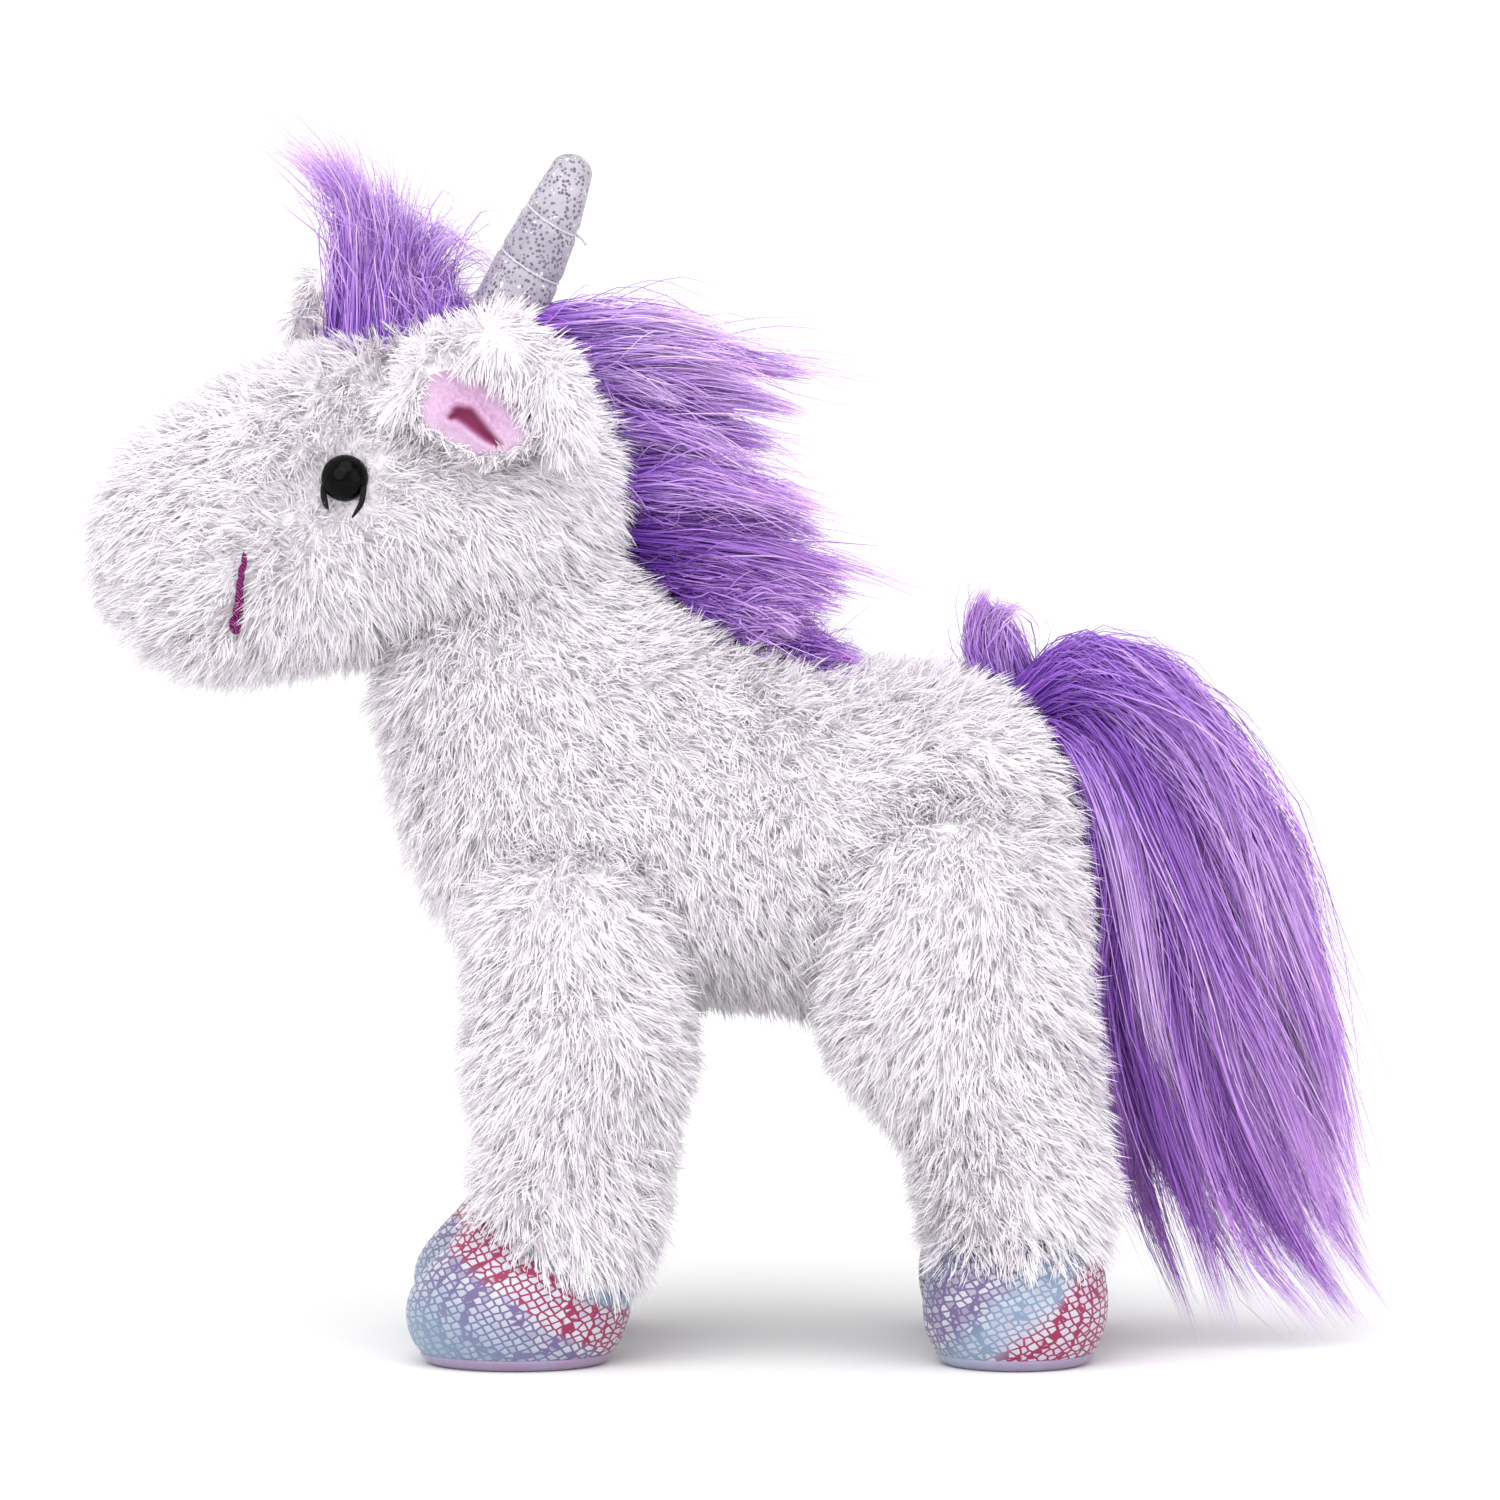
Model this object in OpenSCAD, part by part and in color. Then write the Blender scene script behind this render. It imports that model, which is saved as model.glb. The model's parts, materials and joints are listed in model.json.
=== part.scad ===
/* [Overall] */
// Height of the horn's tip above the floor
horn_tip_z = 306; // [300:1:312]
// Thickness of the furry skin: backing cloth and pile together
skin_t = 6; // [4:0.5:7]
// Clearance between soft pieces on either side of a flexing seam
seam_gap = 0.4; // [0.3:0.1:0.8]

/* [Torso and neck] */
// Radius of the chest
chest_r = 42; // [40:1:44]
// Radius of the rump
rump_r = 43; // [41:1:45]
// Distance from the chest's centre to the rump's centre
torso_len = 88; // [84:1:92]
// Height of the torso's middle line
torso_z = 129; // [127:1:131]
// Radius of the ball that ends the neck inside the head
neck_r = 30; // [28:1:31]

/* [Head] */
// Radius of the back of the head
cranium_r = 43; // [41:1:44]
// Radius of the muzzle
muzzle_r = 34; // [32:1:36]
// How much further forward the right ear is sewn on than the left one
ear_stagger = 14; // [0:1:18]

/* [Legs] */
// Sideways distance from the middle to each leg's centre line
leg_y = 31; // [30:1:34]
// Leg radius where it meets the hoof
ankle_r = 24; // [22:1:25]
// Radius of the shoulder at the top of a front leg
shoulder_r = 29; // [27:1:30]
// Radius of the hip at the top of a hind leg
hip_r = 34; // [32:1:35]
// Height of the furry hem above the floor
hem_z = 30; // [28:1:32]

/* [Hooves] */
// Largest radius of a hoof, just above its sole
hoof_r = 23; // [21:1:24]
// Radius of the hoof where the leg is sewn in
hoof_top_r = 17.5; // [16:0.5:18]
// Thickness of the hoof's foil-printed cloth
hoof_t = 1.5; // [1:0.1:2]
// Thickness of the sole
sole_t = 3; // [2:0.5:4]

/* [Face] */
// Diameter of the domed safety eye
eye_d = 12; // [10:1:14]
// Diameter of the eye's shank
shank_d = 3; // [2:0.5:4]
// Radius of an ear
ear_r = 18; // [16:1:20]
// Thickness of an ear's furry back
ear_t = 7; // [5:1:8]

/* [Horn and hair] */
// Radius of the horn at its foot
horn_r = 10; // [9:0.5:11]
// Radius of the horn's rounded tip
horn_tip_r = 4.5; // [4:0.5:5]
// Largest radius of the tail's hair
tail_r = 29; // [26:1:31]
// Thickness of the mane from side to side
mane_t = 24; // [18:1:28]

/* [Hidden] */
$fn = 64;

// The unicorn faces -X and its left side faces -Y. Paired pieces are drawn on the left.
left = -1;
right = 1;
big = 400;
gusset_half = 16;
bag_top_z = 20;
seam_turn = 40;

chest = [-45, 0, torso_z + 1];
rump = [chest[0] + torso_len, 0, torso_z - 1];
neck_top = [-62, 0, 200];
cranium = [-72, 0, 222];
muzzle = [-132.5, 0, 205];
shoulder = [-46, 27, 108];
hip = [53, 22, 112];
front_ankle_x = -48;
front_hoof_x = -52;
hind_ankle_x = 67;
shoulder_flat_y = 24.4;
hip_flat_y = 20.4;
inner_top_z = 75;

horn_foot = [neck_top[0], 0, 265];
horn_tip = [-47, 0, horn_tip_z - horn_tip_r];
horn_t = 1.2;
thread_r = 0.8;
mane_top_z = 274;
tail_root = [74, 0, 161];
tail_arch = [92, 0, 168];
tail_arch_r = 12;
tail_belly = [120, 0, 122];
tail_tip = [159.5, 0, 15.5];
tail_tip_r = 7;
tab_r = 8;
ear_foot = [-66, 42.6, 237];
eye_at = [-101.6, 33.5, 225];
eye_tilt = 16;
washer_depth = 11;
cream = [0.93, 0.91, 0.94];
fluff = [0.97, 0.97, 0.97];
purple = [0.55, 0.37, 0.72];
stitch = [0.45, 0.1, 0.4];
foil = [0.66, 0.73, 0.85];
silver = [0.76, 0.73, 0.8];
pink = [0.82, 0.66, 0.82];

// A sphere whose seam stands clear of the middle plane.
module ball(r) {
  rotate([0, 0, 45]) sphere(r = r);
}

// A ball at a, a ball at b and the cone that joins them, a hair under their common tangent.
module limb(a, ra, b, rb) {
  along = b - a;
  span = norm(along);
  slope = (ra - rb) / span;
  shrink = 0.995 * sqrt(1 - slope * slope);
  tilt = acos(along[2] / span);
  turn = atan2(along[1], along[0]);
  translate(a) ball(ra);
  translate(b) ball(rb);
  translate(a) rotate([0, tilt, turn]) translate([0, 0, ra * slope]) rotate([0, 0, seam_turn])
    cylinder(r1 = ra * shrink, r2 = rb * shrink, h = span + (rb - ra) * slope);
}

// Everything to the left of a plane at a distance from the middle.
module left_space(from_y = 0) {
  translate([-big / 2, -from_y - big, -big / 4]) cube(big);
}

// Everything on one side of the middle plane.
module half_space(side) {
  translate([-big / 2, side == left ? -big : 0, -big / 4]) cube(big);
}

// A left piece as drawn, or its mirror image on the right.
module sided(side) {
  if (side == right) mirror([0, 1, 0]) children();
  if (side == left) children();
}

// Everything above a height.
module above(z) {
  translate([-big / 2, -big / 2, z]) cube(big);
}

// Everything below a height.
module below(z) {
  translate([-big / 2, -big / 2, z - big]) cube(big);
}

// The space beside the torso that a swinging leg turns in: a disc, and all that lies below it.
module leg_recess(centre, r, flat_y) {
  swing_room = 6;
  for (side = [left, right]) sided(side) {
    translate([centre[0], -flat_y, centre[2]]) rotate([90, 0, 0]) cylinder(r = r, h = big);
    translate([centre[0] - r - swing_room, -flat_y - big, centre[2] - big])
      cube([2 * (r + swing_room), big, big]);
  }
}

// The torso and neck as one body, smaller all round by inset.
module torso_form(inset = 0) {
  difference() {
    union() {
      limb(chest, chest_r - inset, rump, rump_r - inset);
      limb(chest + [0, 0, 5], chest_r - 2 - inset, neck_top, neck_r - inset);
    }
    leg_recess(shoulder, shoulder_r + seam_gap + inset / 3, shoulder_flat_y - seam_gap - inset / 3);
    leg_recess(hip, hip_r + seam_gap + inset / 3, hip_flat_y - seam_gap - inset / 3);
    translate(tail_root) ball(tab_r + seam_gap + inset / 3);
  }
}

// The zone of the under panel, between the legs.
module gusset_zone() {
  gusset_len = torso_len - 16;
  translate([chest[0] + 8, -gusset_half, torso_z - rump_r - 10])
    cube([gusset_len, 2 * gusset_half, rump_r - 14]);
}

module torso_skin(side) {
  color(cream) difference() {
    intersection() {
      torso_form();
      half_space(side);
    }
    torso_form(skin_t);
    gusset_zone();
  }
}

module belly_gusset() {
  color(cream) intersection() {
    difference() {
      torso_form();
      torso_form(skin_t);
    }
    gusset_zone();
  }
}

module torso_stuffing() {
  color(fluff) torso_form(skin_t);
}

// The head without its sockets, smaller all round by inset.
module head_form(inset = 0) {
  limb(cranium, cranium_r - inset, muzzle, muzzle_r - inset);
}

// The space that the neck needs inside and under the head while the head nods.
module neck_room(margin = 0) {
  reach = 70;
  ball_room = 2.5;
  cone_room = 1.5;
  spread = 40;
  foot_r = neck_r + cone_room + margin;
  translate(neck_top) ball(neck_r + ball_room + margin);
  translate(neck_top - [0, 0, reach]) rotate([0, 0, seam_turn])
    cylinder(r1 = foot_r + reach * tan(spread), r2 = foot_r, h = reach);
}

// One eye: a domed front on a shank, about its own axis, pointing to +Z.
module eye_shape() {
  intersection() {
    sphere(d = eye_d);
    translate([0, 0, eye_d / 2]) cube(eye_d + 1, center = true);
  }
  translate([0, 0, -washer_depth - 3]) cylinder(d = shank_d, h = washer_depth + 3.5);
}

module washer_shape() {
  translate([0, 0, -washer_depth - 2]) difference() {
    cylinder(d = eye_d + 2, h = 2);
    translate([0, 0, -1]) cylinder(d = shank_d, h = 4);
  }
}

module at_eye() {
  translate([eye_at[0], -eye_at[1], eye_at[2]]) rotate([90 - eye_tilt, 0, 0]) children();
}

module head_skin(side) {
  color(cream) difference() {
    intersection() {
      head_form();
      half_space(side);
    }
    head_core();
    neck_room();
    translate(horn_foot) ball(horn_r + seam_gap);
    sided(side) at_eye() eye_shape();
  }
}

module head_core() {
  difference() {
    head_form(skin_t);
    neck_room(2);
    translate(horn_foot) ball(horn_r + 2);
  }
}

module head_stuffing() {
  color(fluff) difference() {
    head_core();
    for (side = [left, right]) sided(side) at_eye() {
      eye_shape();
      washer_shape();
    }
  }
}

module eye() {
  color([0.03, 0.03, 0.03]) at_eye() eye_shape();
}

module eye_washer() {
  color([0.9, 0.9, 0.88]) at_eye() washer_shape();
}

// A stitched mark: a thin coat on the head's surface, where the cutter passes through it.
module face_stitch(thick = 0.8) {
  color(stitch) intersection() {
    difference() {
      head_form(-thick);
      head_form();
    }
    left_space(5);
    children();
  }
}

module lashes() {
  face_stitch()
    for (lash = [[-5.5, -7, 0], [5, -7.5, 0]])
      translate([eye_at[0] + lash[0], 0, eye_at[2] + lash[1]])
        rotate([90, 0, 0]) cylinder(r = 1.2, h = 120, center = true);
}

module nostril() {
  face_stitch()
    translate([-130, -60, 186]) rotate([0, 7, 0]) cube([2, 120, 19]);
}

// A flat fan of hair between two angles and two radii about the point where the head nods.
module hair_fan(r_in, r_out, from_angle, to_angle, thick) {
  steps = 8;
  angles = [for (i = [0 : steps]) from_angle + (to_angle - from_angle) * i / steps];
  rim = [for (a = angles) r_out * [cos(a), sin(a)]];
  root = [for (i = [steps : -1 : 0]) r_in * [cos(angles[i]), sin(angles[i])]];
  translate(neck_top + [0, thick / 2, 0]) rotate([90, 0, 0])
    linear_extrude(thick) polygon(concat(rim, root));
}

module mane_upper() {
  color(purple) difference() {
    hair_fan(neck_r + 4, 92, 16, 72, mane_t);
    above(mane_top_z);
    head_form();
    horn_space();
  }
}

// The room that the flexing horn sweeps behind itself.
module horn_space() {
  translate(horn_foot) rotate([0, 30, 0]) cylinder(r = horn_r + 4, h = 70);
}

module mane_lower() {
  color(purple) difference() {
    hair_fan(neck_r + 3, 88, -22, 2, mane_t);
    torso_form();
  }
}

module forelock() {
  foot = [-96, 0, 250];
  color(purple) difference() {
    translate(foot) rotate([0, -18, 0]) cylinder(r1 = 15, r2 = 6, h = 52);
    head_form();
  }
}

// The horn, smaller all round by inset.
module horn_form(inset = 0) {
  along = horn_tip - horn_foot;
  span = norm(along);
  translate(horn_foot) sphere(r = horn_r - inset);
  translate(horn_tip) sphere(r = horn_tip_r - inset);
  translate(horn_foot) rotate([0, acos(along[2] / span), 0])
    cylinder(r1 = (horn_r - inset) * 0.98, r2 = (horn_tip_r - inset) * 0.98, h = span);
}

module horn_rings() {
  along = horn_tip - horn_foot;
  span = norm(along);
  for (part_way = [0.36, 0.68])
    translate(horn_foot + along * part_way) rotate([0, acos(along[2] / span), 0])
      rotate_extrude() translate([0.98 * (horn_r + (horn_tip_r - horn_r) * part_way), 0])
        circle(r = thread_r, $fn = 24);
}

module horn_sleeve() {
  color(silver) difference() {
    horn_form();
    horn_form(horn_t);
    horn_rings();
  }
}

module horn_stuffing() {
  color(fluff) horn_form(horn_t);
}

module horn_thread() {
  color([0.8, 0.78, 0.84]) difference() {
    horn_rings();
    horn_form(horn_t);
  }
}

// The right ear stands further forward than the left one.
module ear_place(side) {
  translate([side == right ? -ear_stagger : 0, 0, 0]) sided(side) children();
}

// A rounded flap standing on its foot line, its inner face towards the head.
module ear_flap(r, near_y, far_y) {
  lift = 11;
  intersection() {
    translate([ear_foot[0], -ear_foot[1] - near_y, ear_foot[2] + lift])
      rotate([90, 0, 0]) cylinder(r = r, h = far_y - near_y);
    above(ear_foot[2] + 0.5 + ear_r - r);
  }
}

module ear_back() {
  color(cream) difference() {
    ear_flap(ear_r, 0, ear_t);
    ear_lining_form();
  }
}

module ear_lining_form() {
  ear_flap(ear_r - 4, ear_t - 1.5, ear_t);
}

module ear_lining() {
  color(pink) ear_lining_form();
}

module tail_tab() {
  along = tail_arch - tail_root;
  color(purple) {
    translate(tail_root) sphere(r = tab_r);
    translate(tail_root) rotate([0, acos(along[2] / norm(along)), 0]) cylinder(r = tab_r - 1, h = 18);
  }
}

// The hair leaves the tab as a short arch, swells, and falls to a thin tip.
module tail_hair() {
  color(purple) difference() {
    union() {
      limb(tail_arch, tail_arch_r, tail_belly, tail_r);
      limb(tail_belly, tail_r, tail_tip, tail_tip_r);
    }
    tail_tab();
  }
}

// One leg's outer form, smaller all round by inset and shorter by lift at the ankle.
module leg_form(top, top_r, ankle_x, flat_y, inset = 0) {
  foot = [ankle_x, -leg_y, hem_z];
  head = [top[0], -top[1], top[2]];
  difference() {
    intersection() {
      limb(head, top_r - inset, foot, ankle_r - inset);
      above(hem_z);
      left_space(seam_gap / 2 + inset / 3);
    }
    translate([-big / 2, -flat_y - inset / 3, inner_top_z - inset / 3])
      cube([big, 2 * (flat_y + inset / 3), big]);
  }
}

// The hoof turned about its upright axis, smaller all round by inset.
module hoof_form(x, inset = 0, z_from = 0, z_to = 36) {
  waist_r = hoof_top_r - inset;
  wide_r = hoof_r - inset;
  profile = [
    [0, z_from], [wide_r - 3, z_from], [wide_r, 4],
    [wide_r - 0.8, 10], [wide_r - 2.4, 16], [waist_r + 0.9, 24], [waist_r, hem_z],
    [waist_r, z_to], [0, z_to]
  ];
  translate([x, -leg_y, 0]) rotate_extrude() polygon(profile);
}

// The room inside the hoof's cloth, above a height.
module hoof_room(x, from_z) {
  intersection() {
    hoof_form(x, hoof_t, -1, 40);
    above(from_z);
  }
}

// The round insole that the pellets lie on.
module sole(x) {
  color(foil) translate([x, -leg_y, 0])
    cylinder(r1 = hoof_r - 3, r2 = hoof_r - hoof_t, h = sole_t);
}

module hoof(x) {
  color(foil) difference() {
    hoof_form(x);
    hoof_form(x, hoof_t, -1, 40);
    sole(x);
  }
}

module pellet_bag(x) {
  color([0.85, 0.85, 0.8]) intersection() {
    hoof_room(x, sole_t);
    below(bag_top_z);
  }
}

module ankle_fill(x) {
  intersection() {
    hoof_room(x, bag_top_z);
    below(hem_z + 6);
  }
}

module leg_skin(top, top_r, ankle_x, hoof_x, flat_y) {
  color(cream) difference() {
    leg_form(top, top_r, ankle_x, flat_y);
    leg_form(top, top_r, ankle_x, flat_y, skin_t);
    hoof_form(hoof_x);
  }
}

module leg_stuffing(top, top_r, ankle_x, hoof_x, flat_y) {
  color(fluff) {
    difference() {
      leg_form(top, top_r, ankle_x, flat_y, skin_t);
      hoof_form(hoof_x);
    }
    ankle_fill(hoof_x);
  }
}

module front_leg_skin() {
  leg_skin(shoulder, shoulder_r, front_ankle_x, front_hoof_x, shoulder_flat_y);
}

module front_leg_stuffing() {
  leg_stuffing(shoulder, shoulder_r, front_ankle_x, front_hoof_x, shoulder_flat_y);
}

module hind_leg_skin() {
  leg_skin(hip, hip_r, hind_ankle_x, hind_ankle_x, hip_flat_y);
}

module hind_leg_stuffing() {
  leg_stuffing(hip, hip_r, hind_ankle_x, hind_ankle_x, hip_flat_y);
}

torso_skin(left);  // torso_skin_left
torso_skin(right);  // torso_skin_right
belly_gusset();
torso_stuffing();
mane_lower();
head_skin(left);  // head_skin_left
head_skin(right);  // head_skin_right
head_stuffing();
mane_upper();
forelock();
sided(left) eye();  // eye_left
sided(right) eye();  // eye_right
sided(left) eye_washer();  // eye_washer_left
sided(right) eye_washer();  // eye_washer_right
sided(left) lashes();  // lashes_left
sided(right) lashes();  // lashes_right
sided(left) nostril();  // nostril_left
sided(right) nostril();  // nostril_right
horn_sleeve();
horn_stuffing();
horn_thread();
ear_place(left) ear_back();  // ear_back_left
ear_place(left) ear_lining();  // ear_lining_left
ear_place(right) ear_back();  // ear_back_right
ear_place(right) ear_lining();  // ear_lining_right
tail_tab();
tail_hair();
sided(left) front_leg_skin();  // front_leg_skin_left
sided(left) front_leg_stuffing();  // front_leg_stuffing_left
sided(left) hoof(front_hoof_x);  // front_hoof_left
sided(left) sole(front_hoof_x);  // front_sole_left
sided(left) pellet_bag(front_hoof_x);  // front_pellet_bag_left
sided(right) front_leg_skin();  // front_leg_skin_right
sided(right) front_leg_stuffing();  // front_leg_stuffing_right
sided(right) hoof(front_hoof_x);  // front_hoof_right
sided(right) sole(front_hoof_x);  // front_sole_right
sided(right) pellet_bag(front_hoof_x);  // front_pellet_bag_right
sided(left) hind_leg_skin();  // hind_leg_skin_left
sided(left) hind_leg_stuffing();  // hind_leg_stuffing_left
sided(left) hoof(hind_ankle_x);  // hind_hoof_left
sided(left) sole(hind_ankle_x);  // hind_sole_left
sided(left) pellet_bag(hind_ankle_x);  // hind_pellet_bag_left
sided(right) hind_leg_skin();  // hind_leg_skin_right
sided(right) hind_leg_stuffing();  // hind_leg_stuffing_right
sided(right) hoof(hind_ankle_x);  // hind_hoof_right
sided(right) sole(hind_ankle_x);  // hind_sole_right
sided(right) pellet_bag(hind_ankle_x);  // hind_pellet_bag_right
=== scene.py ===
"""Plush unicorn: fur, long hair, foil-cloth hooves, stuffed horn and stitched face round the CAD frame."""

import json
import math
import zlib

import bmesh
import bpy
import numpy as np
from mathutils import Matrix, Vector, kdtree


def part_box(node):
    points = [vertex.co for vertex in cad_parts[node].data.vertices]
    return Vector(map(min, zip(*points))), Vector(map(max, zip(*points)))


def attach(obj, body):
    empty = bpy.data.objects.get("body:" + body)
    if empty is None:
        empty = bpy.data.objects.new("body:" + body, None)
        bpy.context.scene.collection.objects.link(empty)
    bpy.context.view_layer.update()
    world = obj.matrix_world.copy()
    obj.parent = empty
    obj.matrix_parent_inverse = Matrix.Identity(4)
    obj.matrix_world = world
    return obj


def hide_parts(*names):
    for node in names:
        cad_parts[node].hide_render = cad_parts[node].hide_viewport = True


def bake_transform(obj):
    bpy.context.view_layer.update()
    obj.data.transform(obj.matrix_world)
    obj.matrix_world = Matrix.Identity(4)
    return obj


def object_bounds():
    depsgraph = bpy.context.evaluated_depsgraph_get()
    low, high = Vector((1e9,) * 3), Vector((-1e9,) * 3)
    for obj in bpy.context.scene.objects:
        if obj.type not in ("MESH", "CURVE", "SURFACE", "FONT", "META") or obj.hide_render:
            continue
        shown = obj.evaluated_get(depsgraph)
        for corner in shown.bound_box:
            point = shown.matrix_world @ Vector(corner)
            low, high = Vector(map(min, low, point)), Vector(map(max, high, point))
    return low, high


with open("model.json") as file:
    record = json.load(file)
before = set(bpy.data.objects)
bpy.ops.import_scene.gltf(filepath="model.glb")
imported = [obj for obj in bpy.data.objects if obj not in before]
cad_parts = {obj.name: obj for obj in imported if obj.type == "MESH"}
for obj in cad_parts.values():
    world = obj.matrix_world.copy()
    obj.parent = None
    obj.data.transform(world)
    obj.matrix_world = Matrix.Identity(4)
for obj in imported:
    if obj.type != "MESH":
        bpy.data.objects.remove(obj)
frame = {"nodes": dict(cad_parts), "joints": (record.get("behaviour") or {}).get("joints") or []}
CAD_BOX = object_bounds()

# ---- units and places, in millimetres

MM = 0.001
LEFT, RIGHT = -1, 1
SIDES = {"left": LEFT, "right": RIGHT}
JOINTS = {joint["name"]: joint for joint in frame["joints"]}


def pivot(joint_name):
    """Where a joint turns, in millimetres."""
    return np.array(JOINTS[joint_name]["pos_m"], float) / MM


def box_mm(node):
    """A CAD node's lowest and highest corners, in millimetres."""
    low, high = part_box(node)
    return np.array(low, float) / MM, np.array(high, float) / MM


HEAD_LOW, HEAD_HIGH = box_mm("head_skin_left")
TORSO_HIGH = box_mm("torso_skin_left")[1]
NECK = pivot("head_nod")
SHOULDER = pivot("front_leg_swing_left")
HIP = pivot("hind_leg_swing_left")
HORN_FOOT = pivot("horn_flex")

CRANIUM_R = -HEAD_LOW[1]
CRANIUM = np.array([HEAD_HIGH[0] - CRANIUM_R, 0, HEAD_HIGH[2] - CRANIUM_R])
NOSE_X = HEAD_LOW[0]
CHEST = np.array([SHOULDER[0] + 1, 0, SHOULDER[2] + 22])
RUMP_R = 43
RUMP = np.array([TORSO_HIGH[0] - RUMP_R, 0, CHEST[2] - 2])
SKIN_DEPTH = 4.8  # how far the cloth lies under the tips of the pile
STRANDS_PER_PIECE = 38000
PILE = 8.0  # length of one strand of the white pile
PILE_WIDTH = 0.38
BURIED = 9.0  # no pile grows deeper than this inside another form
FLOOR_CLEARANCE = 0.5  # long hair lies on the floor and never under it
HAIR_TOP = 321.0  # the highest wisp of the forelock


def seeded(name):
    """A random generator that depends only on a piece's name."""
    return np.random.default_rng(zlib.crc32(name.encode()))


def unit(vectors):
    length = np.linalg.norm(vectors, axis=-1, keepdims=True)
    return vectors / np.maximum(length, 1e-9)


# ---- soft forms as blended round cones


def round_cone(points, a, b, radius_a, radius_b):
    """Signed distance to the surface that wraps a ball at a and a ball at b."""
    axis = b - a
    span2 = float(axis @ axis)
    drop = radius_a - radius_b
    if span2 < 1e-6:
        return np.linalg.norm(points - a, axis=1) - radius_a
    slant2 = span2 - drop * drop
    from_a = points - a
    along = from_a @ axis
    beyond = along - span2
    across2 = ((from_a * span2 - np.outer(along, axis)) ** 2).sum(1)
    along2, beyond2 = along**2 * span2, beyond**2 * span2
    limit = np.sign(drop) * drop * drop * across2
    near_b = np.sqrt(across2 + beyond2) / span2 - radius_b
    near_a = np.sqrt(across2 + along2) / span2 - radius_a
    side = (np.sqrt(across2 * slant2 / span2) + along * drop) / span2 - radius_a
    distance = np.where(np.sign(along) * slant2 * along2 < limit, near_a, side)
    return np.where(np.sign(beyond) * slant2 * beyond2 > limit, near_b, distance)


class Form:
    """A soft body: round cones blended over a distance, and narrowed from side to side."""

    def __init__(self, cones, blend=12.0, width=1.0):
        self.cones = [(np.array(a, float), np.array(b, float), ra, rb) for a, b, ra, rb in cones]
        self.blend = blend
        self.width = width

    def distance(self, points):
        squeezed = points * np.array([1, 1 / self.width, 1])
        total = None
        for a, b, ra, rb in self.cones:
            here = round_cone(squeezed, a, b, ra, rb)
            if total is None:
                total = here
                continue
            mix = np.clip(0.5 + 0.5 * (here - total) / self.blend, 0, 1)
            total = here * (1 - mix) + total * mix - self.blend * mix * (1 - mix)
        return total

    def normal(self, points):
        step = 0.4
        slope = np.empty_like(points)
        for axis in range(3):
            shift = np.zeros(3)
            shift[axis] = step
            slope[:, axis] = self.distance(points + shift) - self.distance(points - shift)
        return unit(slope)

    def settle(self, points, depth=0.0, rounds=4):
        """Moves points onto the surface, or to a depth under it."""
        for _ in range(rounds):
            points = points - self.normal(points) * (self.distance(points) + depth)[:, None]
        return points


HOOF_TOP = 30.0
WITHERS = np.array([CHEST[0] + 17, 0, CHEST[2] + 30])
TORSO = Form([
    (CHEST + [3.5, 0, 0], RUMP, 39.5, RUMP_R),
    (CHEST + [-11, 0, 20], CHEST + [-16, 0, 38], 35, 34.5),
    (CHEST + [2, 0, 8], NECK + [0, 0, 4], 39, 30),
    (WITHERS, CHEST + [47, 0, 9], 33, 38.5),
    (CHEST + [60, 0, 8], CHEST + [91, 0, 4], 39, 41.5),
], blend=14, width=0.97)
HEAD = Form([
    (CRANIUM, CRANIUM + [-12, 0, 0], CRANIUM_R, 39.5),
    (CRANIUM + [-16, 0, 1], CRANIUM + [-46, 0, -3.5], 40, 36),
    (CRANIUM + [-40, 0, -14], [NOSE_X + 33, 0, CRANIUM[2] - 14], 33.5, 33.5),
    ([NOSE_X + 33, 0, CRANIUM[2] - 14], [NOSE_X + 33, 0, CRANIUM[2] - 18.5], 33.5, 32),
], blend=8, width=0.94)


def front_leg_form(side):
    y = side * 30
    return Form([
        ([SHOULDER[0] + 2, side * 26, SHOULDER[2] + 2], [SHOULDER[0] + 2.5, y, 76], 29, 27),
        ([SHOULDER[0] + 2.5, y, 76], [SHOULDER[0] + 0.5, y + side, 42], 27, 23),
        ([SHOULDER[0] + 0.5, y + side, 42], [SHOULDER[0], y + side, HOOF_TOP + 2], 23, 22),
    ], blend=10)


def hind_leg_form(side):
    return Form([
        ([HIP[0] - 2, side * 22, HIP[2] + 4], [HIP[0] - 1, side * 24, 92], 36, 33),
        ([HIP[0], side * 24, 92], [HIP[0] + 10.5, side * 28, 68], 32, 24.5),
        ([HIP[0] + 10.5, side * 28, 68], [HIP[0] + 15.5, side * 31, 44], 24.5, 23),
        ([HIP[0] + 15.5, side * 31, 44], [HIP[0] + 15, side * 31, HOOF_TOP + 2], 23, 22.5),
    ], blend=10)


LEGS = {}
for side_name, side in SIDES.items():
    LEGS["front_leg_" + side_name] = front_leg_form(side)
    LEGS["hind_leg_" + side_name] = hind_leg_form(side)

# ---- mesh helpers


def new_object(name, data):
    piece = bpy.data.objects.new(name, data)
    bpy.context.scene.collection.objects.link(piece)
    return piece


def aimed(piece, place, target):
    """Puts a camera or a lamp at a place and points it at a target."""
    piece.location = place
    piece.rotation_euler = (Vector(target) - Vector(place)).to_track_quat("-Z", "Y").to_euler()


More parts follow.
